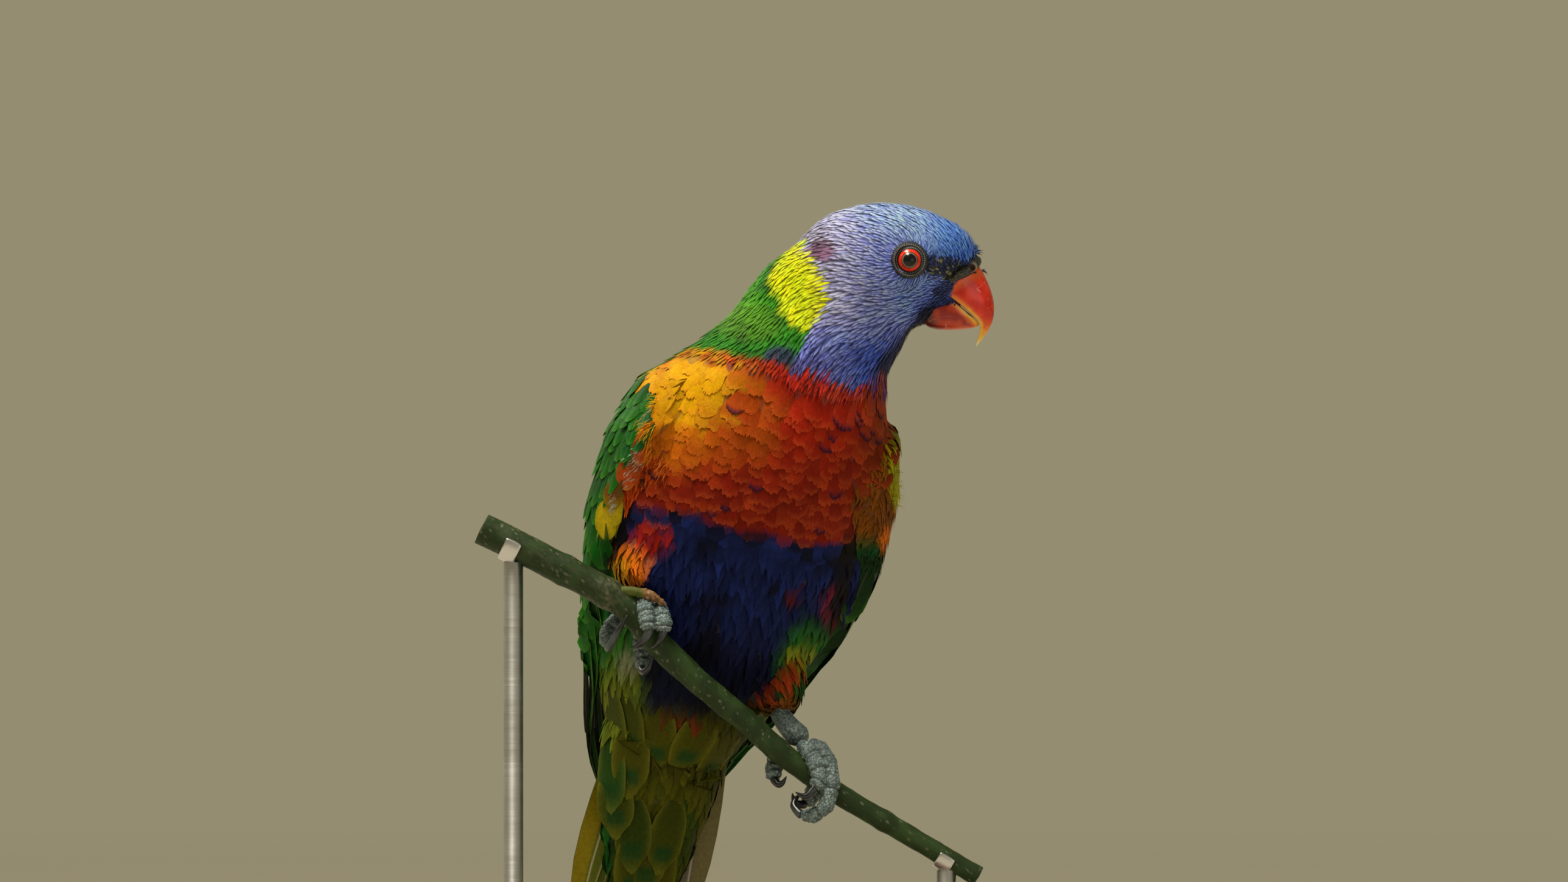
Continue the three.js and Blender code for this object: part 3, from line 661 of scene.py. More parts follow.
def lay_shafts(roots, length, steps, lift, turn, tree=skin_tree, stiff=0.35, leave=4.0):
    """Lays a shaft from each root over a form. Returns its stations, their normals and tangents."""
    place, normal = roots["place"].copy(), roots["normal"].copy()
    lie = roots["lie"].copy()
    side = np.cross(lie, normal)
    lie = lie * np.cos(turn)[:, None] + side * np.sin(turn)[:, None]
    stations, normals = [place + normal * lift[0][:, None]], [normal.copy()]
    stride = length / (steps - 1)
    on_wing = (roots["tract"] == WING_RIGHT) | (roots["tract"] == WING_LEFT)
    for step in range(1, steps):
        ahead = place + lie * stride[:, None]
        found, bent, _ = nearest_on(tree, ahead)
        off = np.linalg.norm(found - ahead, axis=1) > leave
        found[off], bent[off] = ahead[off], normal[off]
        bent = normal * 0.4 + bent * 0.6
        bent[:, 2] = np.where(on_wing, np.maximum(bent[:, 2], -0.15), bent[:, 2])
        bent /= np.linalg.norm(bent, axis=1)[:, None]
        heading = lie_of_coat(found, bent, roots["tract"])
        side = np.cross(heading, bent)
        heading = heading * np.cos(turn)[:, None] + side * np.sin(turn)[:, None]
        lie = lie * stiff + heading * (1 - stiff)
        lie -= bent * np.sum(lie * bent, axis=1)[:, None]
        lie /= np.linalg.norm(lie, axis=1)[:, None]
        place, normal = found, bent
        share = step / (steps - 1)
        rise = lift[0] + (lift[1] - lift[0]) * share ** 0.8
        stations.append(place + normal * rise[:, None])
        normals.append(normal.copy())
    stations, normals = np.stack(stations, axis=1), np.stack(normals, axis=1)
    tangents = np.gradient(stations, axis=1)
    tangents /= np.maximum(np.linalg.norm(tangents, axis=2), 1e-9)[:, :, None]
    return stations, normals, tangents


def make_vanes(name, shafts, roots, width, length, outline, columns, rounding, camber, fringe, colours,
               finish, replaced=(), skew=0.0, patch_size=0.003):
    """One mesh of feather vanes. Colours(row, column) paints them, where row runs from root to tip
    and column from -1 to 1 across. Outline is the half-width at each station as a share of width,
    rounding how far the vane's corners fall behind its tip, fringe how ragged the tip is, and skew
    how far the vane lies to one side of its shaft."""
    stations, normals, tangents = shafts
    count, steps = stations.shape[:2]
    sides = np.cross(tangents, normals)
    sides /= np.maximum(np.linalg.norm(sides, axis=2), 1e-9)[:, :, None]
    column = np.linspace(-1, 1, columns)
    row = np.linspace(0, 1, steps)[:, None]
    long = length[:, None, None]
    half = width[:, None, None] / 2 * np.asarray(outline)[:, None]
    out = half * (column + np.broadcast_to(skew, count)[:, None, None])
    fall = rounding * long * row ** 2 * np.abs(column) ** 2.2
    fall = fall - rng.uniform(-1.0, 1.0, (count, 1, columns)) * fringe * long * row ** 4
    droop = camber * half * column ** 2
    points = (stations[:, :, None] + sides[:, :, None] * out[..., None]
              - tangents[:, :, None] * fall[..., None] - normals[:, :, None] * droop[..., None])
    grid = np.arange(count * steps * columns).reshape(count, steps, columns)
    faces = np.stack((grid[:, :-1, :-1], grid[:, :-1, 1:], grid[:, 1:, 1:], grid[:, 1:, :-1]), axis=-1)
    faces = faces.reshape(-1, 4)
    mesh = bpy.data.meshes.new(name)
    mesh.vertices.add(points.size // 3)
    mesh.vertices.foreach_set("co", (points * MM).ravel())
    mesh.loops.add(faces.size)
    mesh.loops.foreach_set("vertex_index", faces.ravel())
    mesh.polygons.add(len(faces))
    mesh.polygons.foreach_set("loop_start", np.arange(len(faces)) * 4)
    mesh.update(calc_edges=True)
    give_colours(mesh, colours(row, column).reshape(-1, 3))
    vane = np.stack((out, long * row - fall), axis=-1).reshape(-1, 2)
    patch = np.stack(np.broadcast_arrays(column / 2, row - 0.5), axis=-1)
    patch = (roots["map"][:, None, None, :] + patch * patch_size).reshape(-1, 2)
    for title, places in (("OFBake", patch), ("Vane", vane)):
        layer = mesh.uv_layers.new(name=title)
        layer.data.foreach_set("uv", places[faces.ravel()].ravel())
    piece = show(name, mesh, finish)
    if replaced:
        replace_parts(piece, *replaced)


def tipward(shafts, share):
    """The place that far along each shaft, where the part of the feather that shows lies."""
    stations = shafts[0]
    at = share * (stations.shape[1] - 1)
    low = int(at)
    high = min(low + 1, stations.shape[1] - 1)
    return stations[:, low] * (1 - at + low) + stations[:, high] * (at - low)


# Feather vanes: keratin barbs side by side, satin along the lie, with a pale shaft. The barbs
# are drawn wider than the real tenth of a millimetre, or they wouldn't show.
def plumage_finish(name, barb, slant, contrast, roughness, sheen, shaft=None):
    finish, tree = new_finish(name)
    tint = add_node(tree, "Attribute", attribute_name="Markings")
    vane = add_node(tree, "UVMap", uv_map="Vane")
    across = add_node(tree, "SeparateXYZ", {0: vane}, "X")
    across = add_node(tree, "Math", {0: across}, operation="ABSOLUTE")
    along = add_node(tree, "SeparateXYZ", {0: vane}, "Y")
    slanted = add_node(tree, "Math", {0: across, 1: -slant, 2: along}, operation="MULTIPLY_ADD")
    place = add_node(tree, "TexCoord", output="Object")
    waver = add_node(tree, "TexNoise", {"Vector": place, "Scale": 0.4 / MM, "Detail": 3.0})
    moved = add_node(tree, "Math", {0: waver, 1: barb * 2.2, 2: slanted}, operation="MULTIPLY_ADD")
    turns = add_node(tree, "Math", {0: moved, 1: math.tau / barb}, operation="MULTIPLY")
    barbs = add_node(tree, "Math", {0: turns}, operation="SINE")
    light = add_node(tree, "MapRange", {"Value": barbs, "From Min": -1.0, "From Max": 1.0,
                                        "To Min": 1 - contrast, "To Max": 1 + contrast * 0.6})
    mottle = add_node(tree, "TexNoise", {"Vector": place, "Scale": 0.9 / MM, "Detail": 4.0})
    uneven = add_node(tree, "MapRange", {"Value": mottle, "From Min": 0.25, "From Max": 0.75,
                                         "To Min": 0.82, "To Max": 1.16})
    level = add_node(tree, "Math", {0: light, 1: uneven}, operation="MULTIPLY")
    shaded = add_node(tree, "VectorMath", {0: tint, "Scale": level}, operation="SCALE")
    if shaft:
        wide, strength = shaft
        near = add_node(tree, "MapRange", {"Value": across, "From Min": wide, "From Max": wide * 0.5})
        part = add_node(tree, "Math", {0: near, 1: strength}, operation="MULTIPLY")
        shaded = add_node(tree, "Mix", {0: part, 6: shaded, 7: hex_colour("#d8cfae")}, 2, data_type="RGBA")
    bump = add_node(tree, "Bump", {"Height": barbs, "Strength": 0.35, "Distance": 0.06 * MM})
    satin = add_node(tree, "BsdfPrincipled", {
        "Base Color": shaded, "Roughness": roughness, "Sheen Weight": sheen, "Sheen Roughness": 0.4,
        "Specular IOR Level": 0.07, "Normal": bump})
    add_node(tree, "OutputMaterial", {"Surface": satin})
    return finish


contour_vanes = plumage_finish("breast feather barbs", 1.15, 2.6, 0.3, 0.65, 0.0)
streak_vanes = plumage_finish("head feather barbs", 0.45, 1.4, 0.2, 0.55, 0.06)
wing_vanes = plumage_finish("wing feather barbs", 0.55, 1.0, 0.22, 0.5, 0.0, shaft=(0.16, 0.06))
long_vanes = plumage_finish("flight feather barbs", 0.6, 1.2, 0.14, 0.45, 0.0, shaft=(0.4, 0.5))


def even(count, low, high):
    """Random numbers between two values."""
    return rng.uniform(low, high, count)


def feather_tract(name, roots, length, width, steps, columns, outline, lift, turn, shade, finish,
                  rounding=0.3, camber=0.15, fringe=0.03, shows_at=0.7, merge=0.0):
    """Lays one tract of feathers on the skin and paints them with its markings. Merge is how much
    of the marking of every place it passes over a feather takes, beside that of its tip."""
    count = len(roots["place"])
    length = length * even(count, 0.85, 1.15)
    width = width * even(count, 0.88, 1.12)
    lifts = (np.broadcast_to(lift[0], count), lift[1] * even(count, 0.7, 1.3))
    shafts = lay_shafts(roots, length, steps, lifts, rng.normal(0, turn, count))
    at = tipward(shafts, shows_at)
    base = np.repeat(markings(at, roots["tract"])[:, None], steps, axis=1)
    if merge:
        passed = markings(shafts[0].reshape(-1, 3), np.repeat(roots["tract"], steps)).reshape(base.shape)
        base = base + (passed - base) * merge
    bright = even(count, 0.85, 1.15)[:, None, None]
    make_vanes(name, shafts, roots, width, length, outline, columns, rounding, camber, fringe,
               lambda row, column: shade(base * bright, row, column, at), finish)


SOFT_OUTLINE = (0.5, 0.9, 1.0, 0.85, 0.35)
NARROW_OUTLINE = (0.6, 1.0, 0.85, 0.15)
SCALLOP_OUTLINE = (0.35, 0.75, 0.95, 1.0, 0.97, 0.84)


def grid_of(base, row, column):
    """Colours of every point of every vane: vanes by rows by columns."""
    if base.ndim == 2:
        base = base[:, None]
    return np.broadcast_to(base[:, :, None], (len(base), len(row), len(column), 3)).copy()


def mix_in(colour, code, amount):
    """Mixes a grid of vane colours with a hex colour."""
    return colour + (np.array(hex_colour(code)[:3]) - colour) * np.clip(amount, 0, 1)[..., None]


# Head feathers: narrow and stiff. Each has a pale violet-blue middle and dark sides, so the head
# looks streaked. They are tiny at the bill and the eye and longest on the nape.
def streaked(base, row, column, at):
    colour = grid_of(base, row, column)
    edge = np.abs(column) ** 1.3
    colour = colour * (0.7 + 1.1 * (1 - edge[..., None])) * even(len(base), 0.74, 1.36)[:, None, None, None]
    dark = 0.78 - 0.35 * smoothstep(52, 66, at[:, 0])
    colour = mix_in(colour, "#221f30", edge * dark[:, None, None])
    red, blue = base[:, -1, 0], base[:, -1, 2]
    # Whitish middles towards the tip: partly the pale lavender shafts of the feathers, most on the nape,
    # and partly a painted highlight
    shaft_and_highlight = smoothstep(60, 34, at[:, 0]) * smoothstep(240, 262, at[:, 2]) * 0.5 + 0.16
    shaft_and_highlight = shaft_and_highlight * smoothstep(0.04, 0.35, blue)
    shaft_and_highlight = shaft_and_highlight * even(len(base), 0.2, 1.4) * smoothstep(0.8, 1.3, blue / np.maximum(red, 0.01))
    pale = (1 - edge) * smoothstep(0.2, 0.75, row)
    return mix_in(colour, "#dfe3ff", pale ** 2 * shaft_and_highlight[:, None, None])


def face_reach(points):
    """Distances from the nearer eye and from the bill's root, in millimetres."""
    from_eye = np.min([np.linalg.norm(points - middle, axis=1) for middle in EYE_MIDDLES], axis=0)
    return from_eye, np.linalg.norm((points - BILL_ROOT) * (1, 0.7, 1), axis=1)


def head_growth(points):
    """0 where the feathers are tiny, at the bill and the eyes, and 1 where they are full-grown."""
    from_eye, from_bill = face_reach(points)
    return smoothstep(7, 32, np.minimum(from_bill, from_eye + 8))


eye_reach, bill_reach = face_reach(strewn_place)
over_eye = smoothstep(0, 4, strewn_z - EYE_MIDDLES[0][2])
bare = eye_reach < 4.8 - 0.45 * over_eye
near_bill = strewn_place[bill_reach < 16]
touched = nearest_on(solid_tree(["bill_upper", "bill_lower", "cere"])[0], near_bill)[0]
bare[bill_reach < 16] |= np.linalg.norm(touched - near_bill, axis=1) < 0.4
growth = head_growth(strewn_place)
head_roots = spaced_roots(on_body & (strewn_face > 0.5) & ~bare, 0.5 + 0.36 * growth, 0.8 + 0.95 * growth)
growth = head_growth(head_roots["place"])
forehead = smoothstep(66, 73, head_roots["place"][:, 0]) * smoothstep(266, 270, head_roots["place"][:, 2])
feather_tract("head_feathers", head_roots, length=2.2 + 5.4 * growth, width=0.74 + 0.66 * growth, steps=4,
              columns=3, outline=NARROW_OUTLINE, lift=(-0.1 + 0.6 * forehead, 0.7 + 0.6 * forehead),
              turn=0.12, shade=streaked, finish=streak_vanes, rounding=0.2, fringe=0)


# Collar and hind neck: soft hairy feathers, too fine to tell apart
def hairy(base, row, column, at):
    edge = np.abs(column) ** 1.5
    # Each feather is darker at its sides and its root: painted shade where it lies under its neighbours
    shade = 0.74 + 0.38 * (1 - edge[..., None])
    return grid_of(base, row, column) * shade * (0.8 + 0.25 * row[..., None])


on_neck = (on_body & (strewn_face <= 0.5)
           & ((strewn_z > np.interp(strewn_x, BREAST_TOP_X, BREAST_TOP_Z) - 1)
              | ((strewn_back > 0) & (strewn_z > 232))))
feather_tract("neck_feathers", spaced_roots(on_neck, 0.72, 1.45), length=5.2, width=0.98, steps=4,
              columns=3, outline=NARROW_OUTLINE, lift=(-0.1, 0.75), turn=0.12, shade=hairy,
              finish=streak_vanes, rounding=0.2, fringe=0, merge=0.85)


# Breast feathers: broad shells in staggered rows with combed barbs, paler at the rim, some with
# a dark violet fringe.
def scalloped(base, row, column, at):
    red, green, blue = base[:, -1].T
    golden = smoothstep(0.12, 0.4, green / np.maximum(red, 0.01))[:, None, None, None]
    ramp = row[..., None]
    # Darker at the root, less so in the golden zone: painted shade under the tips of the row before
    colour = grid_of(base, row, column) * (0.58 + 0.47 * ramp + golden * (0.28 - 0.28 * ramp))
    rim = np.maximum(row ** 9, np.abs(column) ** 5 * row ** 2)
    warm = smoothstep(1.2, 2.6, red / np.maximum(blue, 0.01))
    colour = mix_in(colour, "#d0602a", rim * (0.24 * warm)[:, None, None])
    near_throat = smoothstep(16, 4, np.hypot(at[:, 0] - 42, at[:, 2] - 224))
    fringed = (rng.random(len(base)) < 0.04 + 0.35 * near_throat) & (green < 0.1) & (at[:, 2] > 188)
    return mix_in(colour, "#181031", row ** 12 * fringed[:, None, None])


over_belly = strewn_z - np.interp(strewn_x, BELLY_TOP_X, BELLY_TOP_Z)
on_trunk = on_body & (strewn_face <= 0.5) & ~on_neck
on_front = on_trunk & (strewn_back <= 2)
feather_tract("breast_feathers", spaced_roots(on_front & (over_belly > -2), 3.7, 2.7), length=10.5,
              width=7.8, steps=6, columns=17, outline=SCALLOP_OUTLINE, lift=(-0.2, 0.55), turn=0.1,
              shade=scalloped, finish=contour_vanes, rounding=0.2, fringe=0.06,
              merge=0.8)


# Belly and flank feathers: looser and softer than the breast's, hanging in long combed locks
def combed(base, row, column, at):
    lit = rng.random((len(base), 1, len(column), 1))
    # Darker towards the root: painted shade under the overlapping locks
    return grid_of(base, row, column) * (0.55 + 0.6 * row[..., None]) * (0.8 + 0.4 * lit)


feather_tract("belly_feathers", spaced_roots(on_front & (over_belly <= -2), 2.5, 2.9), length=10.5,
              width=3.9, steps=5, columns=7, outline=SOFT_OUTLINE, lift=(-0.2, 1.4), turn=0.14,
              shade=combed, finish=contour_vanes, rounding=0.3, fringe=0.06,
              merge=0.5)


# Back and rump: green scalloped feathers between the wings, and short soft ones on the thighs
def greens(base, row, column, at):
    # Darker towards the root: painted shade under the feather above
    colour = grid_of(base, row, column) * (0.7 + 0.35 * row[..., None])
    return mix_in(colour, "#7fc22a", np.abs(column) ** 4 * 0.25)


feather_tract("back_feathers", spaced_roots(on_trunk & (strewn_back > 2), 3.6, 3.0), length=10, width=6.2,
              steps=5, columns=7, outline=(0.4, 0.85, 1.0, 0.95, 0.5), lift=(-0.2, 1.2), turn=0.08,
              shade=greens, finish=wing_vanes, rounding=0.34, fringe=0.02)
on_thigh = (strewn_tract == THIGH_RIGHT) | (strewn_tract == THIGH_LEFT)
feather_tract("thigh_feathers", spaced_roots(on_thigh, 1.9, 2.3), length=8, width=2.6, steps=5, columns=5,
              outline=SOFT_OUTLINE, lift=(-0.2, 1.3), turn=0.2, shade=combed, finish=contour_vanes,
              rounding=0.3, fringe=0.07, merge=0.5)


# Wing coverts: small and rounded at the shoulder, longer and stiffer row by row down the wing
def coverts(base, row, column, at):
    edge = np.abs(column)
    # Darker at the root and the sides: painted shade where each covert lies under the next
    colour = grid_of(base, row, column) * (0.62 + 0.5 * row[..., None])
    colour = colour * (1.12 - 0.4 * edge[..., None] ** 2)
    # The bright green rim is partly a painted highlight on the feathers' edges
    rim = np.maximum(edge ** 6 * smoothstep(0.3, 0.8, row), row ** 8)
    return mix_in(colour, "#58a024", rim * 0.24)


def down_wing(z):
    """0 at the shoulder, 1 at the last row of coverts."""
    return smoothstep(232, 158, z)


on_right, on_left = strewn_tract == WING_RIGHT, strewn_tract == WING_LEFT
lining = on_right & (strewn_back < -6) & (streak(strewn_place, (-23.5, 211), (-36.5, 187), 5) > 0.5)
lining |= on_left & (strewn_back < -9) & (strewn_z > 178)
down = down_wing(strewn_z)
on_outside = (on_right | on_left) & ~lining & (strewn_z > 155)
wing_roots = spaced_roots(on_outside, 3.5 + 2.5 * down, 3.5 + 3.3 * down)
down = down_wing(wing_roots["place"][:, 2])
feather_tract("wing_coverts", wing_roots, length=10 + 12 * down, width=6 + 3 * down, steps=7, columns=9,
              outline=(0.35, 0.75, 0.95, 1.0, 1.0, 0.92, 0.7), lift=(0.1, 1.3), turn=0.05, shade=coverts,
              finish=wing_vanes, rounding=0.16, fringe=0.006, merge=0.25)
feather_tract("lining_feathers", spaced_roots(lining, 1.6, 1.9), length=6.5, width=2.3, steps=5, columns=5,
              outline=SOFT_OUTLINE, lift=(-0.2, 0.9), turn=0.14, shade=combed, finish=contour_vanes,
              rounding=0.3, fringe=0.05, merge=0.7)

# Flight feathers: stiff dark blades with green outer webs, fanned over the side of the rump from
# under the coverts. Each row is a feather's root and tip: degrees round from the side, and height.
PRIMARIES = {
    "right": (((-13, 166), (5, 131)), ((-8, 163), (14, 120)), ((-2, 160), (24, 112)), ((6, 158), (34, 107)),
              ((15, 156), (45, 102)), ((25, 155), (57, 99)), ((36, 154), (69, 97)), ((48, 153), (81, 96))),
    "left": (((-13, 158), (5, 124)), ((-8, 156), (14, 115)), ((-2, 154), (24, 109)), ((6, 152), (34, 105)),
             ((15, 151), (45, 101)), ((25, 150), (57, 99)), ((36, 150), (69, 97)), ((48, 150), (81, 96))),
}
SECONDARIES = (((4, 170), (24, 124)), ((14, 169), (36, 118)), ((25, 168), (48, 113)),
               ((37, 168), (60, 109)), ((50, 167), (72, 106)), ((63, 166), (84, 104)))
BLADE_STEPS = 9
FAR_OUT = 90             # millimetres, outside the bird from anywhere within it
BLADE_OUTLINE = (0.5, 0.8, 0.95, 1.0, 1.0, 0.96, 0.86, 0.66, 0.3)


def outside_at(tree, side, degrees, z):
    """The outermost place of a form seen from the body's midline at that height."""
    middle = Vector((9 + (z - 226) * LEAN, 12 - (z - 165) * RECLINE, z))
    angle = math.radians(degrees)
    sideways, back = side * math.cos(angle), math.sin(angle)
    out = Vector((sideways * math.cos(BODY_YAW) - back * math.sin(BODY_YAW),
                  sideways * math.sin(BODY_YAW) + back * math.cos(BODY_YAW), 0))
    found = tree.ray_cast(middle + out * FAR_OUT, -out)[0]
    if found is None or (found - middle).dot(out) < 0:
        found = tree.find_nearest(middle + out * 30)[0]
    return found, out


def rooted(places, tract):
    """Roots at given places, with their spot on the skin's map."""
    _, normals, faces = nearest_on(skin_tree, places)
    return {"place": places, "normal": normals, "map": skin_map[faces].mean(axis=1),
            "tract": np.full(len(places), tract)}


def blade_shafts(stations, normals):
    """Shafts through stations that are already in place."""
    tangents = np.gradient(stations, axis=1)
    return stations, normals, tangents / np.linalg.norm(tangents, axis=2)[:, :, None]


def bladed(dark, web, rim):
    """Colours of a stiff feather: dark, with a coloured outer web and a fine pale edge."""
    def shade(row, column):
        colour = mix_in(grid_of(plain([0], dark), row, column), web, smoothstep(0.05, -0.2, column))
        return mix_in(colour, rim, smoothstep(-0.86, -0.97, column) * 0.8)
    return shade


share = np.linspace(0, 1, BLADE_STEPS)
for name, side in (("right", -1), ("left", 1)):
    tree = solid_tree(["flight_feathers_" + name, "wing_" + name])[0]
    stations, normals = [], []
    rows = [(row, 0.1 + 0.09 * i) for i, row in enumerate(PRIMARIES[name])]
    rows += [(row, 0.75 + 0.09 * i) for i, row in enumerate(SECONDARIES)]
    for ((start, top), (end, tip)), rise in rows:
        line, outward = [], []
        for part in share:
            round_from_side = start + (end - start) * part ** 1.2
            found, out = outside_at(tree, side, round_from_side, top + (tip - top) * part)
            line.append(found + out * (rise - 2.2 * (1 - part) ** 3))
            outward.append(out)
        line = np.array(line)
        for _ in range(3):
            line[1:-1] = line[1:-1] * 0.5 + (line[:-2] + line[2:]) * 0.25
        stations.append(line)
        normals.append(outward)
    stations, normals = np.array(stations), np.array(normals)
    lengths = np.linalg.norm(np.diff(stations, axis=1), axis=2).sum(axis=1)
    count = len(stations)
    widths = np.where(np.arange(count) < len(PRIMARIES[name]), 9.5, 11.5)
    bright = even(count, 0.8, 1.2)[:, None, None, None]
    shade = bladed("#15170f", "#1f6a22", "#7f8a3a")
    flipped = shade if side < 0 else lambda row, column: shade(row, column[::-1] * -1)[:, :, ::-1]
    make_vanes("flight_" + name, blade_shafts(stations, normals), rooted(stations[:, 0], WING_RIGHT),
               widths, lengths, BLADE_OUTLINE, columns=13, rounding=0.05, camber=0.1, fringe=0.0,
               colours=lambda row, column: flipped(row, column) * bright, finish=long_vanes,
               replaced=["flight_feathers_" + name], skew=0.3 * -side,
               patch_size=0.006)

# Tail: twelve narrow pointed feathers in steps, the middle pair longest and on top. Seen from
# below their outer webs are olive and their inner webs dull yellow; from above they are green.
TAIL_AXIS = ((-17, 24, 136), (-22, 29, 112), (-28.5, 34, 84), (-34, 39, 56), (-38, 43, 33))
TAIL_ACROSS = np.array((math.cos(BODY_YAW), math.sin(BODY_YAW), 0))
TAIL_UP = np.array((-math.sin(BODY_YAW), math.cos(BODY_YAW), 0.25))
TAIL_PAIRS = 6
TAIL_LENGTH = 103        # millimetres along the axis
TAIL_STEP = 5.2          # millimetres each pair is shorter than the one above it
TAIL_OUTLINE = (0.6, 0.85, 0.97, 1.0, 1.0, 0.97, 0.88, 0.68, 0.36, 0.06)


def through(rows, share):
    """Rows of numbers read along a smooth curve through them, at shares from 0 to 1."""
    rows = np.asarray(rows, float)
    at = np.clip(share, 0, 1) * (len(rows) - 1)
    start = np.minimum(at.astype(int), len(rows) - 2)
    t = (at - start)[:, None]
    before, here = rows[np.maximum(start - 1, 0)], rows[start]
    there, after = rows[start + 1], rows[np.minimum(start + 2, len(rows) - 1)]
    return here + 0.5 * t * (there - before + t * (2 * before - 5 * here + 4 * there - after
                                                   + t * (3 * (here - there) + after - before)))


def tail_sheets(name, facing, right, left):
    """One face of the whole tail. Facing is -1 for the underside, and right and left are the three
    colours of the feathers on that side."""
    stations, sides = [], []
    for rank in range(TAIL_PAIRS):
        for side in (-1, 1):
            part = np.linspace(0, 1, len(TAIL_OUTLINE)) * (1 - rank * TAIL_STEP / TAIL_LENGTH)
            spread = side * ((1.6 + 1.5 * rank) + (1.4 + 1.15 * rank) * np.sin(part * 2.3))
            depth = -0.62 * rank - 0.12 * (side > 0) + facing * 0.09
            stations.append(through(TAIL_AXIS, part) + TAIL_ACROSS * spread[:, None] + TAIL_UP * depth)
            sides.append(side)
    stations, sides = np.array(stations), np.array(sides)
    lengths = np.linalg.norm(np.diff(stations, axis=1), axis=2).sum(axis=1)
    normals = np.broadcast_to(TAIL_UP * facing / np.linalg.norm(TAIL_UP), stations.shape)
    widths = 10.5 + even(len(sides), -0.4, 0.4)

    def colours(row, column):
        both = []
        for side in sides:
            shade = bladed(*(right if side < 0 else left))
            if side * facing > 0:
                both.append(shade(row, column)[0])
            else:
                both.append(shade(row, column[::-1] * -1)[0, :, ::-1])
        return np.array(both)

    make_vanes(name, blade_shafts(stations, normals), rooted(stations[:, 0], UNDERTAIL), widths, lengths,
               TAIL_OUTLINE, columns=13, rounding=0.02, camber=0.06 * facing, fringe=0.0,
               colours=colours, finish=long_vanes,
               replaced=["tail"] if facing < 0 else (), skew=0.28 * sides * facing, patch_size=0.006)


TAIL_GREEN = ("#2c5a1e", "#1f7a22", "#86a83a")
tail_sheets("tail_underside", -1, ("#8f8016", "#5e6a1e", "#b9b183"), ("#77704a", "#6d675c", "#a8a08c"))
tail_sheets("tail_upperside", 1, TAIL_GREEN, TAIL_GREEN)

# Undertail coverts: long soft olive feathers, each with a dark green spot near its tip, in rows
# down both sides of the vent. Rows give the spots' middles in front view.
SPOTS = (
    (-38, 114.6), (-36, 105.8), (-34.4, 97.8), (-30.5, 87.5), (-5.6, 112.7), (-9.3, 105.2),
    (-13.1, 95), (-20.6, 86.5), (-37.5, 123), (-31, 121), (-29.5, 111), (-27.6, 101.5),
    (-25.4, 92.5), (-25.8, 80), (-3.5, 120.5), (-12.5, 118), (-16.4, 108.5), (-19.4, 99),
    (-22.4, 118.5), (-22.6, 108), (-23.6, 98), (-29.6, 77), (-23.5, 74), (-28.2, 68),
    (-31.5, 63), (-27.6, 60),
)
SPOT_SHARE = 0.74        # how far along the feather its spot lies
SPOTTED_LENGTH = 25.0
under_tree = solid_tree(["undertail_coverts", "tail", "trunk"])[0]


def spotted(base, row, column):
    # Darker towards the root: painted shade under the feathers that overlap it
    colour = grid_of(base, row, column) * (0.7 + 0.35 * row[..., None])
    far = np.hypot((row - SPOT_SHARE) / 0.13, column / 0.62)
    colour = mix_in(colour, "#0f3f18", smoothstep(1.15, 0.75, far) * 0.9)
    return mix_in(colour, "#8a8a2c", np.maximum(row ** 7, np.abs(column) ** 5) * 0.35)


def under_roots(spots):
    """Roots so that each feather's spot lies where it should."""
    places, lies, outward = [], [], []
    for x, z in spots:
        found = under_tree.ray_cast(Vector((x, -FAR_OUT, z)), Vector((0, 1, 0)))[0]
        if found is None:
            found = under_tree.find_nearest(Vector((x, 0, z)))[0]
        aside = np.clip((x + 22 - (z - 98) * 0.1) / 18, -1, 1)
        lie = Vector((-0.14 - 0.26 * aside, 0.28, -1)).normalized()
        root, normal, _, _ = under_tree.find_nearest(found - lie * SPOTTED_LENGTH * SPOT_SHARE)
        places.append(root)
        lies.append(lie)
        outward.append(normal)
    roots = rooted(np.array(places), UNDERTAIL)
    roots["lie"], roots["normal"] = np.array(lies), np.array(outward)
    return roots


order = np.argsort([z for _, z in SPOTS])
roots = under_roots([SPOTS[i] for i in order])
count = len(SPOTS)
lengths = np.full(count, SPOTTED_LENGTH)
lifts = (np.full(count, -1.2), 0.5 + 0.055 * np.arange(count))
shafts = lay_shafts(roots, lengths, 10, lifts, rng.normal(0, 0.03, count), under_tree, 0.8)
base = markings(tipward(shafts, 0.7), roots["tract"])
make_vanes("undertail_long", shafts, roots, even(count, 11.5, 13.5), lengths,
           outline=(0.45, 0.7, 0.88, 0.97, 1.0, 1.0, 0.98, 0.9, 0.72, 0.36), columns=15, rounding=0.1,
           camber=0.12, fringe=0.02, colours=lambda row, column: spotted(base, row, column),
           finish=contour_vanes)
feather_tract("undertail_feathers", spaced_roots(strewn_tract == UNDERTAIL, 3.4, 3.4), length=11, width=5.2,
              steps=5, columns=7, outline=(0.4, 0.85, 1.0, 0.9, 0.5), lift=(-0.2, 0.5), turn=0.1,
              shade=combed, finish=contour_vanes, rounding=0.26, fringe=0.04)


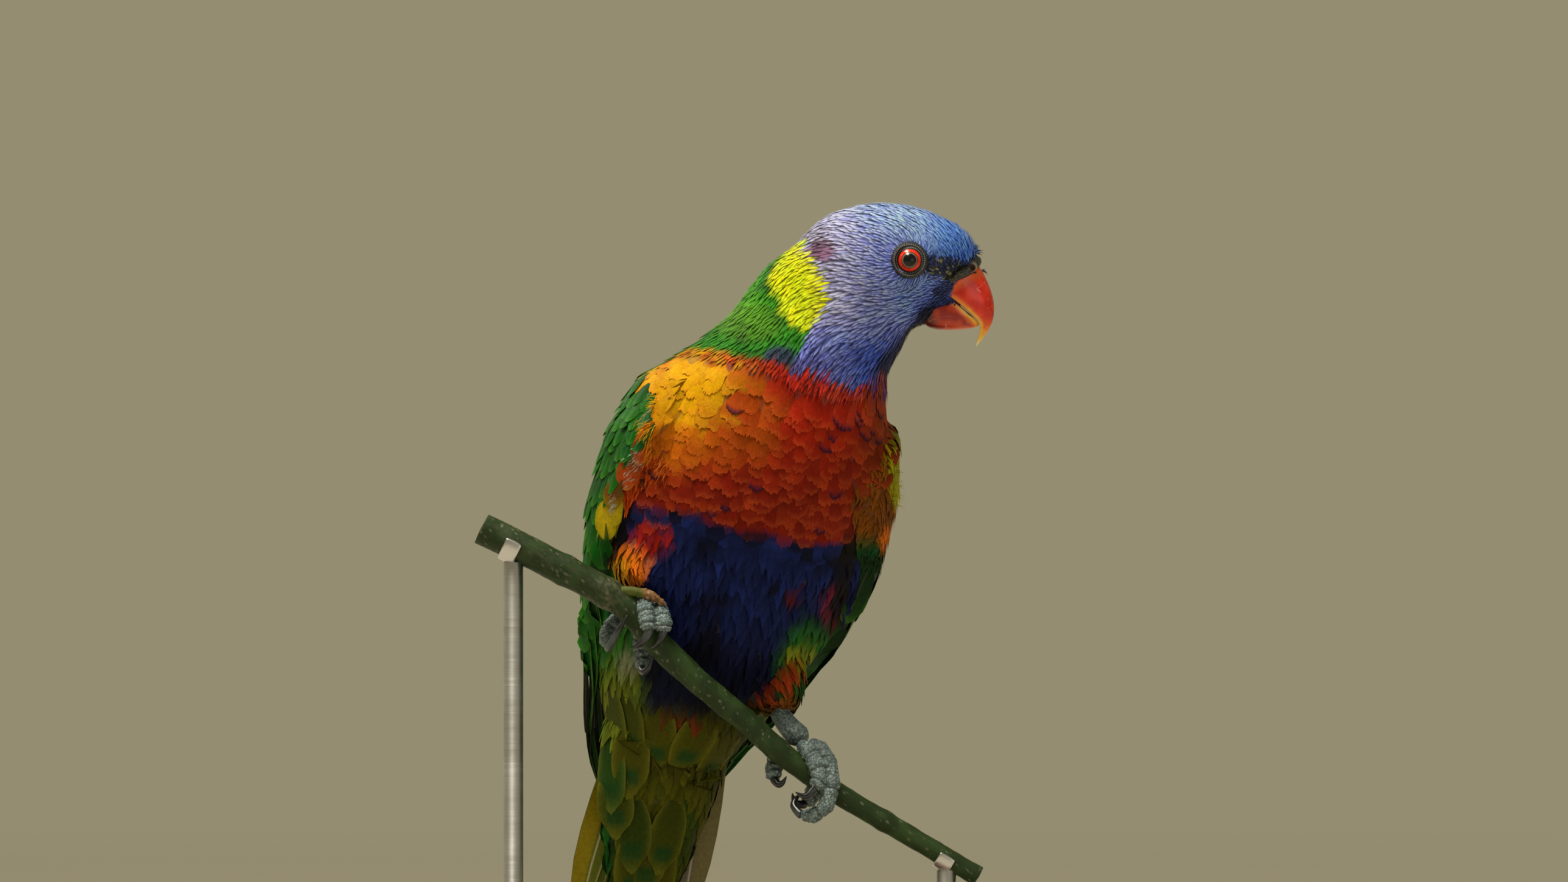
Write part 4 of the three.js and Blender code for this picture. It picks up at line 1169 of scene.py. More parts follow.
# Loose wisps: white down at the edge of the underwing, yellow hairs at the bend of each wing and
# blue and dark bristles over the cere. Rows give their middle in front view, the way they point,
# how many there are, how far they are spread, their length and their colour.
WISPS = (
    ((-27.6, 209), (-1, -0.5, 0.7), 40, 1.8, 2, "#cfcdc4"),
    ((-30.5, 204), (-1, -0.5, 0.6), 40, 1.8, 1.8, "#b9b7ae"),
    ((-35.2, 195.4), (-1, -0.5, 0.6), 40, 1.5, 2, "#c4c2b8"),
    ((-22.2, 225.5), (-1, -0.5, 0.1), 40, 1, 3, "#d9a40a"),
    ((-24.6, 218.5), (-0.8, -0.5, -0.5), 60, 2, 2.8, "#cf8a0c"),
    ((-24, 212.5), (-0.8, -0.5, -0.6), 60, 2, 2.8, "#c8700c"),
    ((-20.5, 207), (-0.5, -0.5, -0.8), 50, 2, 2.6, "#b4520c"),
    ((52.4, 200), (1, -0.3, 0.5), 80, 2.6, 2.2, "#b8b62a"),
    ((74.8, 272), (0.9, -0.3, 0.9), 60, 1.1, 1.5, "#2c3a70"),
    ((74.6, 270.6), (0.9, -0.6, 0.5), 60, 1.3, 1.1, "#24262c"),
)
places, leads, tints = [], [], []
for (x, z), lead, count, spread, reach, code in WISPS:
    for _ in range(count):
        at = Vector((x + rng.normal(0, spread * 0.4), -FAR_OUT, z + rng.normal(0, spread)))
        found = skin_tree.ray_cast(at, Vector((0, 1, 0)))[0]
        if found is None:
            found = skin_tree.find_nearest(Vector((at.x, HEAD_Y, at.z)))[0]
        places.append(found)
        lead_on = (Vector(lead) + Vector(rng.normal(0, 0.35, 3))).normalized()
        leads.append(lead_on * reach * rng.uniform(0.6, 1.2))
        tints.append(hex_colour(code)[:3])
places, leads, tints = np.array(places), np.array(leads), np.array(tints)
roots = rooted(places, BODY)
share = np.linspace(0, 1, 5)[None, :, None]
stations = places[:, None] + roots["normal"][:, None] * 1.3 * share ** 0.5 + leads[:, None] * share
stations[:, :, 2] -= 1.2 * share[0, :, 0] ** 2
normals = np.broadcast_to(roots["normal"][:, None], stations.shape)
make_vanes("loose_wisps", blade_shafts(stations, normals), roots, even(len(places), 0.14, 0.26),
           np.linalg.norm(leads, axis=1), outline=(0.8, 1.0, 0.8, 0.5, 0.1), columns=3, rounding=0.0,
           camber=0.0, fringe=0.0, colours=lambda row, column: grid_of(tints, row, column),
           finish=streak_vanes)


# Bare parts and the perch are grids wrapped round a line or between two lines.
def wrapped(name, along, around, place, spans=(1, 1)):
    """A grid folded into a form by place(along, around), its edges merged where they meet. Its map
    Vane runs round and along the form over the spans, in millimetres."""
    sheet = bmesh.new()
    bmesh.ops.create_grid(sheet, x_segments=around, y_segments=along, size=0.5)
    flat = np.array([vert.co[:2] for vert in sheet.verts]) + 0.5
    vane = sheet.loops.layers.uv.new("Vane")
    for face in sheet.faces:
        for loop in face.loops:
            loop[vane].uv = flat[loop.vert.index] * spans
    for vert, point in zip(sheet.verts, place(flat[:, 1], flat[:, 0])):
        vert.co = Vector(point) * MM
    bmesh.ops.remove_doubles(sheet, verts=sheet.verts, dist=0.002 * MM)
    bmesh.ops.recalc_face_normals(sheet, faces=sheet.faces)
    return finished_mesh(name, sheet)


def tube_round(line, radii, up, along, around, ends=(0.1, 0.1)):
    """Points of a round tapering tube along a smooth line, closed over a share of each end."""
    middle = through(line, along)
    tangent = through(line, along + 0.01) - through(line, along - 0.01)
    side = np.cross(np.asarray(up, float), tangent)
    side /= np.linalg.norm(side, axis=1)[:, None]
    depth = np.cross(tangent, side)
    depth /= np.linalg.norm(depth, axis=1)[:, None]
    closing = np.ones(len(along))
    for share in (along / ends[0], (1 - along) / ends[1]):
        closing *= np.sqrt(1 - (1 - np.clip(share, 0, 1)) ** 2)
    radius = through(np.asarray(radii)[:, None], along)[:, 0] * closing
    angle = around * math.tau
    return middle + (side * np.cos(angle)[:, None] + depth * np.sin(angle)[:, None]) * radius[:, None]


def mesh_points(mesh):
    """A finished mesh's points in millimetres."""
    return read_points(mesh) / MM


# Bill: polished horn, a deep hooked upper half over a short lower one. Red turns orange and then
# yellow at the cutting edges and the tip. Rows give the ridge, the cutting edge and the half-width.
UPPER_ROWS = (
    (74.5, 269, 64.5, 262.5, 0.2), (75.2, 269, 63.4, 261.6, 6), (76.9, 267, 65.4, 259.7, 6.1),
    (78.2, 264.4, 67.9, 257.9, 6), (79.4, 261.5, 70.3, 256.1, 5.6), (80.3, 258.6, 72.6, 254.2, 4.9),
    (80.7, 255.3, 74.6, 252.5, 3.9), (80.5, 252.8, 75.9, 250.9, 2.9), (79.9, 250.6, 76.3, 249.2, 2.1),
    (79, 248.8, 76.2, 247.9, 1.6), (78, 247.2, 75.9, 246.7, 1.15), (76.9, 245.7, 75.5, 245.4, 0.75),
    (75.9, 244.5, 75.2, 244.3, 0.4), (75.1, 243.5, 75.1, 243.5, 0.02),
)
LOWER_ROWS = (
    (59, 252, 62, 258, 0.2), (58.8, 251, 62.5, 261.2, 4.6), (60.6, 249.5, 65, 260.8, 5),
    (63, 248.8, 67.2, 258.9, 5.1), (66, 248.6, 69.4, 256.9, 5), (69, 248.65, 71.7, 254.9, 4.5),
    (72, 248.9, 73.8, 253.2, 3.5), (74.3, 249.3, 75.1, 251.9, 2.2), (75.6, 249.8, 75.8, 250.9, 1),
    (76, 250.2, 76, 250.2, 0.02),
)
WALL = 0.72              # share of the way round that the outer wall takes, before the hollow inside
EDGE_ANGLE = 0.62 * math.pi


def bill_half(rows):
    """Places the points of half a bill between its ridge and its cutting edge."""
    def place(along, around):
        row = through(rows, along)
        turn = np.abs(around * 2 - 1)
        angle = np.minimum(turn / WALL, 1) * EDGE_ANGLE
        inside = np.clip((turn - WALL) / (1 - WALL), 0, 1)
        share = (1 - np.cos(angle)) / (1 - math.cos(EDGE_ANGLE)) - 0.22 * np.sin(inside * math.pi / 2)
        out = np.sin(angle) ** 0.85 * (1 - inside) * row[:, 4]
        return np.stack((row[:, 0] + (row[:, 2] - row[:, 0]) * share, HEAD_Y + out * np.sign(around - 0.5),
                         row[:, 1] + (row[:, 3] - row[:, 1]) * share), axis=1)
    return place


def far_from_line(points, line):
    """Distance in side view from a line of (x, z) points, in millimetres."""
    line = np.array(line, float)
    flat = points[:, [0, 2]]
    found = np.full(len(points), np.inf)
    for start, end in zip(line[:-1], line[1:]):
        share = np.clip((flat - start) @ (end - start) / ((end - start) @ (end - start)), 0, 1)
        found = np.minimum(found, np.linalg.norm(flat - start - share[:, None] * (end - start), axis=1))
    return found


UPPER_EDGE = [(row[2], row[3]) for row in UPPER_ROWS[2:]]


def upper_bill_colour(points):
    x, z = points[:, 0], points[:, 2]
    swirl = ripple(points, 3.2, 5)
    fine = ripple(points, 0.9, 6)
    edge = far_from_line(points, UPPER_EDGE)
    toward_tip = smoothstep(66, 75, x)
    ridge = far_from_line(points, [(row[0], row[1]) for row in UPPER_ROWS[3:8]])
    chips = smoothstep(0.25, 0.8, fine + swirl * 0.4) * smoothstep(1.5, 0.3, ridge)
    return blend(plain(points, "#d0200a"), [
        ("#ee3f16", smoothstep(-0.4, 0.7, swirl) * 0.7),
        ("#ee6a22", smoothstep(2.2, 0, far_from_line(points, [(76.4, 266.4), (65.6, 260)])) * 0.7),
        ("#ee6f1e", smoothstep(253, 248, z)),
        ("#f07a24", smoothstep(1.9, 0.4, edge + swirl * 0.5)),
        ("#f3b53a", smoothstep(1.5, 0.25, edge + fine * 0.15) * toward_tip),
        ("#f2c13c", smoothstep(250, 245.2, z + fine * 0.5)),
        ("#f6e6a8", smoothstep(246, 243.8, z)),
        ("#4a1a1c", chips * 0.8),
    ])


def lower_bill_colour(points):
    x, z = points[:, 0], points[:, 2]
    swirl = ripple(points, 2.8, 7)
    edge = far_from_line(points, UPPER_EDGE[:7])
    return blend(plain(points, "#98180a"), [
        ("#c63d14", smoothstep(-0.2, 0.7, swirl) * 0.7),
        ("#5a120c", smoothstep(64.5, 60.5, x + (z - 252) * 0.4)),
        ("#ef7a22", smoothstep(2.6, 1.1, edge + swirl * 0.4) * smoothstep(63, 67, x)),
        ("#f4c552", smoothstep(1.6, 0.7, edge) * smoothstep(67, 72, x)),
        ("#e8641c", smoothstep(250.6, 249, z) * smoothstep(64, 72, x) * 0.7),
        # painted shade: the dark slit just under the upper bill's cutting edge
        ("#1c0806", smoothstep(0.75, 0.4, edge) * smoothstep(75.5, 73, x)),
    ])


# Horn: glossy, with fine pale scratches and a faint ripple of growth lines
horn, tree = new_finish("polished bill horn")
tint = add_node(tree, "Attribute", attribute_name="Markings")
place = add_node(tree, "TexCoord", output="Object")
curls = add_node(tree, "TexNoise", {"Vector": place, "Scale": 0.16 / MM, "Detail": 2.0, "Distortion": 1.4})
off_line = add_node(tree, "Math", {0: curls, 1: 0.5}, operation="SUBTRACT")
off_line = add_node(tree, "Math", {0: off_line}, operation="ABSOLUTE")
scratch = add_node(tree, "MapRange", {"Value": off_line, "From Min": 0.006, "From Max": 0.002})
patches = add_node(tree, "TexNoise", {"Vector": place, "Scale": 0.4 / MM, "Detail": 3.0})
here = add_node(tree, "MapRange", {"Value": patches, "From Min": 0.46, "From Max": 0.58, "To Max": 0.6})
shown = add_node(tree, "Math", {0: scratch, 1: here}, operation="MULTIPLY")
tone = add_node(tree, "MapRange", {"Value": patches, "To Min": 0.84, "To Max": 1.16})
toned = add_node(tree, "VectorMath", {0: tint, "Scale": tone}, operation="SCALE")
marked = add_node(tree, "Mix", {0: shown, 6: toned, 7: hex_colour("#f2b09a")}, 2, data_type="RGBA")
dull = add_node(tree, "MapRange", {"Value": patches, "To Min": 0.2, "To Max": 0.42})
growth = add_node(tree, "TexWave", {"Vector": place, "Scale": 0.22 / MM, "Distortion": 3.0,
                                    "Detail": 2.0}, "Fac")
bump = add_node(tree, "Bump", {"Height": growth, "Strength": 0.12, "Distance": 0.05 * MM})
shine = add_node(tree, "BsdfPrincipled", {
    "Base Color": marked, "Roughness": dull, "Specular IOR Level": 0.35, "Coat Weight": 0.22,
    "Coat Roughness": 0.12, "Normal": bump})
add_node(tree, "OutputMaterial", {"Surface": shine})

for name, rows, paint in (("bill_upper", UPPER_ROWS, upper_bill_colour),
                          ("bill_lower", LOWER_ROWS, lower_bill_colour)):
    mesh = wrapped(name + "_horn", 72, 61, bill_half(rows))
    give_colours(mesh, paint(mesh_points(mesh)))
    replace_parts(show(name + "_horn", mesh, horn), name)


# Cere: a bare swollen saddle over the bill's root, with a nostril on each side
CERE_LINE = ((66, -18.2, 261.9), (68.6, -18.9, 264.6), (71.9, -17.9, 266.8), (74.2, -15.6, 268.7),
             (75.2, -12, 269.7), (74.2, -8.4, 268.7), (71.9, -6.1, 266.8), (68.6, -5.1, 264.6),
             (66, -5.8, 261.9))
CERE_RADII = (0.5, 1.3, 1.9, 1.9, 1.6, 1.9, 1.9, 1.3, 0.5)
NOSTRIL = (74, 267.6)


def nostril_reach(points):
    """Distance in side view from the nostril's middle, on the outer side only."""
    reach = np.hypot((points[:, 0] - NOSTRIL[0]) / 0.85, points[:, 2] - NOSTRIL[1])
    return np.where(np.abs(points[:, 1] - HEAD_Y) > 3.6, reach, 9)


def place_cere(along, around):
    points = tube_round(CERE_LINE, CERE_RADII, (1, 0, 0.3), along, around, (0.06, 0.06))
    reach = nostril_reach(points)
    press = 1.3 * smoothstep(1.15, 0.45, reach) - 0.25 * np.exp(-((reach - 1.35) / 0.35) ** 2)
    points[:, 1] -= np.sign(points[:, 1] - HEAD_Y) * press
    return points + ripple(points, 0.8, 8)[:, None] * 0.05


def skin_flecks(points, ground, fleck, size, seed, amount):
    """Dark bare skin with paler flecks."""
    flecks = smoothstep(0.1, 0.8, ripple(points, size, seed))
    return blend(plain(points, ground), [(fleck, flecks * amount)])


# Bare dark skin: fine wrinkles and grains, a little oily
bare_skin = grained_finish("bare dark skin", "TexVoronoi", {"Scale": 2.6 / MM}, (1.25, 0.6), (0.6, 0.08),
                           {"Roughness": 0.5})

mesh = wrapped("cere_skin", 96, 41, place_cere)
points = mesh_points(mesh)
colour = skin_flecks(points, "#151518", "#6c6c58", 0.5, 9, 0.7)
reach = nostril_reach(points)
lip = np.exp(-((reach - 1.35) / 0.4) ** 2) * smoothstep(-0.4, 0.8, points[:, 0] - NOSTRIL[0])
colour = blend(colour, [
    # painted highlight: paler grey along the top of the cere
    ("#4a4e50", smoothstep(268.6, 271, points[:, 2]) * 0.3),
    ("#a89c7c", lip * 0.8),
    ("#4a1a12", smoothstep(1.05, 0.8, reach)),
    ("#1c0f0c", smoothstep(0.6, 0.3, reach)),
])
give_colours(mesh, colour)
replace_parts(show("cere_skin", mesh, bare_skin), "cere")


# Eyes: a glossy globe with a red iris, a thin pale ring and a black pupil under a domed cornea,
# set in two rings of beaded dark skin
EYE_RADIUS = 4.7
IRIS_RADIUS = 3.6
HEAD_MIDDLE = np.array((46.8, HEAD_Y, 266))
HEAD_HALF = np.array((30.5, 18, 22))


def head_surface(x, z):
    """How far the head's side lies from its middle plane, in millimetres."""
    inside = 1 - ((x - HEAD_MIDDLE[0]) / HEAD_HALF[0]) ** 2 - ((z - HEAD_MIDDLE[2]) / HEAD_HALF[2]) ** 2
    return HEAD_HALF[1] * np.sqrt(np.maximum(inside, 0))


def place_eye(middle, side):
    def place(along, around):
        theta = math.pi * along ** 1.4
        radius = EYE_RADIUS * np.sin(theta)
        dome = 0.55 * np.clip(1 - (radius / 2.7) ** 2, 0, 1) * (theta < 1.5)
        angle = around * math.tau
        return np.stack((middle[0] + radius * np.cos(angle),
                         middle[1] + side * (EYE_RADIUS * np.cos(theta) + dome),
                         middle[2] + radius * np.sin(angle)), axis=1)
    return place


def eye_colour(points, middle):
    reach = np.hypot(points[:, 0] - middle[0], points[:, 2] - middle[2])
    angle = np.arctan2(points[:, 2] - middle[2], points[:, 0] - middle[0])
    rays = ripple(np.stack((np.cos(angle), np.sin(angle), reach * 0.06), axis=1), 0.12, 10)
    return blend(plain(points, "#e2301a"), [
        ("#f4532f", smoothstep(-0.1, 0.8, rays) * 0.8),
        ("#8c150c", smoothstep(IRIS_RADIUS - 0.4, IRIS_RADIUS - 0.1, reach) * 0.7),
        ("#4a1410", smoothstep(2.75, 2.4, reach)),
        ("#8d8068", np.exp(-((reach - 2.16) / 0.12) ** 2)),
        ("#06080b", smoothstep(2.08, 1.94, reach)),
        ("#140c0a", smoothstep(IRIS_RADIUS - 0.12, IRIS_RADIUS + 0.02, reach)),
    ])


# Cornea over the iris: wet and mirror smooth, with a fine fibre in the iris
wet_eye = grained_finish("wet eye", "TexNoise", {"Scale": 2.5 / MM, "Detail": 4.0}, (0.8, 1.2), None,
                         {"Roughness": 0.3, "Specular IOR Level": 0.1, "Coat Weight": 0.5,
                          "Coat Roughness": 0.03})

RING_INNER, RING_OUTER = 3.5, 5.7
LID_SHARE = 0.86         # share of the ring's section that shows, before it folds under


def lid_relief(reach, angle):
    """Height of the beads and wrinkles of the skin round an eye, in millimetres."""
    first = np.exp(-((reach - 4) / 0.2) ** 2) * (0.55 + 0.45 * np.cos(angle * 46))
    second = np.exp(-((reach - 4.65) / 0.22) ** 2) * (0.55 + 0.45 * np.cos(angle * 52 + 1.4))
    third = np.exp(-((reach - 5.2) / 0.2) ** 2) * (0.5 + 0.5 * np.cos(angle * 47 + 0.5)) * 0.7
    rim = np.exp(-((reach - 3.62) / 0.12) ** 2)
    return 0.26 * first + 0.24 * second + 0.2 * third + 0.12 * rim


def place_lid(middle, side):
    def place(along, around):
        share = np.clip(along / LID_SHARE, 0, 1)
        under = np.clip((along - LID_SHARE) / (1 - LID_SHARE), 0, 1)
        reach = RING_INNER + (RING_OUTER - RING_INNER) * np.where(along < LID_SHARE, share, 1 - under)
        angle = around * math.tau
        x, z = middle[0] + reach * np.cos(angle), middle[2] + reach * np.sin(angle)
        globe = middle[1] + side * (np.sqrt(np.maximum(EYE_RADIUS ** 2 - reach ** 2, 0.3)) + 0.12)
        head = HEAD_MIDDLE[1] + side * (head_surface(x, z) + 0.25)
        y = globe + (head - globe) * smoothstep(3.7, 4.7, reach)
        y = y - side * 0.8 * smoothstep(5, RING_OUTER, reach)
        top = y + side * lid_relief(reach, angle)
        start = middle[1] + side * (math.sqrt(EYE_RADIUS ** 2 - RING_INNER ** 2) + 0.12)
        low = start + (y - side * 1.1 - start) * smoothstep(0, 0.35, 1 - under)
        y = np.where(along < LID_SHARE, top, low)
        return np.stack((x, y, z), axis=1)
    return place


for name, side, middle in (("right", -1, EYE_MIDDLES[0]), ("left", 1, EYE_MIDDLES[1])):
    mesh = wrapped("eye_" + name + "_globe", 60, 97, place_eye(middle, side))
    give_colours(mesh, eye_colour(mesh_points(mesh), middle))
    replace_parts(show("eye_" + name + "_globe", mesh, wet_eye), "eye_" + name)
    mesh = wrapped("eyelid_" + name, 34, 289, place_lid(middle, side))
    points = mesh_points(mesh)
    reach = np.hypot(points[:, 0] - middle[0], points[:, 2] - middle[2])
    angle = np.arctan2(points[:, 2] - middle[2], points[:, 0] - middle[0])
    bead = lid_relief(reach, np.mod(angle, math.tau))
    colour = skin_flecks(points, "#121214", "#3a3c38", 0.6, 11, 0.7)
    lit = smoothstep(0.08, 0.22, bead) * smoothstep(3.75, 3.9, reach)
    give_colours(mesh, blend(colour, [("#9aa0a4", lit * 0.85)]))
    show("eyelid_" + name, mesh, bare_skin)


# Feet: blue-grey scaled skin in one piece over shank and toes, with creases at the knuckles
TOE_LINES = {
    "toe_right_1": ((-26, -21, 166), (-26.2, -26, 164.6), (-25.2, -29.8, 160.5), (-24.6, -30.8, 157)),
    "toe_right_2": ((-22.5, -20.5, 165), (-21.4, -25.2, 162.6), (-20.3, -28.8, 159.3),
                    (-20.2, -29.4, 156.6)),
    "toe_right_3": ((-29, -17.5, 163), (-34.5, -17, 159.6), (-37.4, -19, 156), (-37, -23.4, 152.3)),
    "toe_right_4": ((-26.5, -16.4, 160), (-27, -15.6, 153.5), (-26.8, -16.6, 148.8), (-26.6, -19.6, 145.4)),
    "toe_left_1": ((24, -13, 123), (29, -17.4, 118.6), (31, -22.2, 110.4),
                   (28.2, -23.4, 101.6), (21.4, -20.6, 100.4)),
    "toe_left_2": ((21.2, -14.5, 122.6), (25.4, -19.6, 118), (27.4, -22.8, 112.4), (25.6, -24, 108.8)),
    "toe_left_3": ((17.5, -10.5, 121.4), (14.6, -11, 118), (13.2, -12.6, 114.4), (13.5, -14.8, 111.6)),
    "toe_left_4": ((22.5, -11, 119), (25.5, -10.2, 112.5), (25.5, -11.4, 107), (22.8, -13.6, 103.8)),
}
SCALE_SIZE = 0.95        # millimetres between scales
KNUCKLES = (0.3, 0.55, 0.78)

# Scaled skin: dry, with a fine grain inside each scale
foot_finish = grained_finish("scaled foot skin", "TexNoise", {"Scale": 3.2 / MM, "Detail": 4.0},
                             (0.78, 1.2), (0.4, 0.06), {"Roughness": 0.58})


def scale_height(points):
    """0 in the grooves between scales, 1 on top of them."""
    height = np.empty(len(points))
    for i, point in enumerate(points / SCALE_SIZE):
        near, _ = noise.voronoi(Vector(point))
        height[i] = near[1] - near[0]
    return smoothstep(0.0, 0.34, height)


for side in ("right", "left"):
    toes = ["toe_%s_%d" % (side, number) for number in range(1, 5)]
    mesh = swelled_hull(["tarsus_" + side] + toes, 0.2, 0.26, 5)
    points, normals = read_points(mesh), read_points(mesh, "normal")
    creases = np.zeros(len(points))
    for toe in toes:
        line = TOE_LINES[toe]
        for share in KNUCKLES:
            ends = through(line, np.array((share - 0.02, share, share + 0.02)))
            along = (ends[2] - ends[0]) / np.linalg.norm(ends[2] - ends[0])
            away = points - ends[1]
            near = smoothstep(4, 2.9, np.linalg.norm(away, axis=1))
            forward = np.abs(away @ along)
            creases += near * (np.exp(-(forward / 0.32) ** 2) - 0.5 * np.exp(-((forward - 1.1) / 0.5) ** 2))
    scales = scale_height(points)
    points = points + normals * (0.17 * (scales - 1) - 0.32 * creases)[:, None]
    mesh.vertices.foreach_set("co", (points * MM).ravel())
    mesh.update()
    swirl = ripple(points, 3, 12)
    colour = blend(plain(points, "#6c7f80"), [
        # painted highlight: paler blue-grey on the tops of the scales
        ("#93a8a6", scales * smoothstep(-0.4, 0.8, swirl) * 0.8),
        # painted shade in the grooves between the scales
        ("#2c3536", (1 - scales) * 0.85),
        # painted shade in the creases at the knuckles
        ("#323b3c", np.clip(creases, 0, 1) * 0.8),
    ])
    if side == "right":
        colour = blend(colour, [("#565c5a", smoothstep(-19, -14, points[:, 1]) * 0.6)])
    give_colours(mesh, colour)
    mesh.name = "foot_" + side
    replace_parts(show("foot_" + side, mesh, foot_finish), "tarsus_" + side, *toes)


# Claws: dark polished horn, curved and sharp, grooved along each side
CLAW_LINES = {
    "claw_right_1": ((-24.7, -30.6, 157.6), (-24.8, -31.2, 156.6), (-26, -31.2, 154.4),
                     (-28, -30, 152.6), (-30.6, -28, 151.4)),
    "claw_right_2": ((-20.3, -29.2, 157.2), (-20.6, -29.8, 156.2), (-21.4, -30, 154.2),
                     (-22.4, -29.2, 152.8), (-24.2, -27.5, 151.6)),
    "claw_right_3": ((-37, -23.6, 152.2), (-37, -24.6, 152), (-35.6, -27.6, 154),
                     (-33.4, -29.8, 158), (-31.1, -29.5, 162)),
    "claw_right_4": ((-26.7, -19.8, 145.3), (-26.8, -20.8, 144.8), (-26.2, -23, 144.4),
                     (-24.8, -24.6, 145.8), (-23.4, -25.3, 149)),
    "claw_left_1": ((22, -20.8, 100.6), (20.8, -20, 101.4), (19.4, -18.6, 103.4),
                    (20, -17.4, 105.4), (21.7, -16.4, 107)),
    "claw_left_2": ((25.6, -24, 108.9), (25, -24.4, 108.2), (23.6, -25.2, 106.8),
                    (22, -25, 106.6), (19.8, -23.3, 107.8)),
    "claw_left_3": ((13.6, -15, 111.4), (13.8, -15.6, 110.8), (14.8, -16.8, 109.8),
                    (16, -17.2, 110.4), (17.2, -17.2, 112.4)),
    "claw_left_4": ((22.7, -13.6, 103.8), (22, -14.2, 103.6), (20.4, -15, 104),
                    (19.4, -15.4, 105.2), (18.9, -15.6, 107.2)),
}
CLAW_RADII = (1.5, 1.35, 1.1, 0.8, 0.12)

claw_horn = grained_finish("dark claw horn", "TexNoise", {"Scale": 2.0, "Detail": 3.0}, (0.6, 1.45),
                           (0.3, 0.05), {"Roughness": 0.26}, stretch=(2.4, 0.15, 1.0))

for name, line in CLAW_LINES.items():
    mesh = wrapped(name + "_horn", 26, 19, lambda along, around: tube_round(
        line, CLAW_RADII, (0.68, 0.08, -0.73), along, around, (0.12, 0.02)), (7, 10))
    points = mesh_points(mesh)
    to_tip = np.linalg.norm(points - line[-1], axis=1)
    colour = blend(plain(points, "#15191c"), [("#3a4244", smoothstep(5, 8.5, to_tip))])
    give_colours(mesh, blend(colour, [("#3a3430", smoothstep(2, 0, to_tip) * 0.6)]))
    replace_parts(show(name + "_horn", mesh, claw_horn), name)


# Perch: a green branch with thin smooth bark, a swollen node with a broken twig, and cut ends
PERCH_LINE = ((-76, -25, 188.2), (-56, -25, 178.2), (-33, -24.5, 165.4), (-21.3, -23.5, 152.2),
              (-8.2, -21.5, 140), (3.7, -19, 130.1), (16.3, -17.5, 118.9), (32.3, -16.5, 107.5),
              (56, -15.5, 93.3), (76, -15, 81.5))
PERCH_RADII = (4.8, 4.7, 4.4, 4.1, 3.8, 3.7, 3.5, 3.3, 3.1, 3.1)
TWIG_LINE = ((-38, -24.6, 167.4), (-32, -26.5, 168.9), (-27.7, -27, 168.6), (-23.4, -27, 167.3),
             (-19.6, -27, 164.7))
TWIG_RADII = (2.3, 1.65, 1.5, 1.4, 0.35)
NODE_AT = (-37.5, -25, 168)
SCARS = ((-50.5, -25, 175.4), (14.5, -17.5, 120.8), (47, -16, 98.5))


def place_perch(along, around):
    full = through(PERCH_LINE, along)
    points = tube_round(PERCH_LINE, PERCH_RADII, (0.55, 0, 0.84), along, around, (0.003, 0.003))
    out = (points - full) / np.maximum(np.linalg.norm(points - full, axis=1), 1e-6)[:, None]
    swell = 0.55 * np.exp(-(np.linalg.norm(full - NODE_AT, axis=1) / 2.6) ** 2)
    for scar in SCARS:
        swell += 0.3 * np.exp(-(np.linalg.norm(full - scar, axis=1) / 2) ** 2)
    ring = 0.22 * np.exp(-((full[:, 0] - NODE_AT[0] + 3.2 + 0.5 * np.sin(around * 12)) / 0.4) ** 2)
    lumps = ripple(points * (0.6, 1, 0.6), 3.4, 13) * 0.14 + ripple(points, 1.1, 14) * 0.05
    cut = smoothstep(0, 0.006, along) * smoothstep(1, 0.994, along)
    return points + out * ((swell + ring + lumps) * cut)[:, None]


def bark_colour(points):
    x = points[:, 0]
    swirl, fine = ripple(points * (0.5, 1, 0.5), 2.6, 15), ripple(points, 0.9, 16)
    node = np.exp(-(np.linalg.norm(points - NODE_AT, axis=1) / 5) ** 2)
    first, last = (np.linalg.norm(points - end, axis=1) for end in (PERCH_LINE[0], PERCH_LINE[-1]))
    ends = np.minimum(first - 4.4, last - 2.8)
    pith = np.minimum(first, last)
    return blend(plain(points, "#1f3211"), [
        ("#31491f", smoothstep(-0.2, 0.8, swirl) * 0.7),
        ("#3b3c2c", smoothstep(0.15, 0.7, fine + swirl * 0.4) * smoothstep(-20, -42, x) * 0.8),
        ("#70755f", smoothstep(0.8, 0.95, fine) * 0.8),
        ("#6e6650", node * smoothstep(-0.3, 0.5, fine)),
        ("#28361c", np.exp(-((x - NODE_AT[0] + 3.2) / 0.5) ** 2) * 0.7),
        ("#d3c193", smoothstep(0.35, -0.1, ends)),
        ("#8a6a3c", smoothstep(1, 0.5, pith)),
    ])


def twig_colour(points):
    x = points[:, 0]
    fine = ripple(points, 0.8, 17)
    return blend(plain(points, "#50581a"), [
        ("#374a1a", smoothstep(-0.2, 0.7, fine) * 0.7),
        ("#7a5634", smoothstep(-27.4, -25.8, x + fine * 0.6)),
        ("#a58a64", smoothstep(0.1, 0.7, fine) * smoothstep(-26.5, -25, x) * 0.8),
        ("#3a2a1c", smoothstep(0.2, 0.8, -fine) * smoothstep(-26.5, -25, x) * 0.7),
    ])


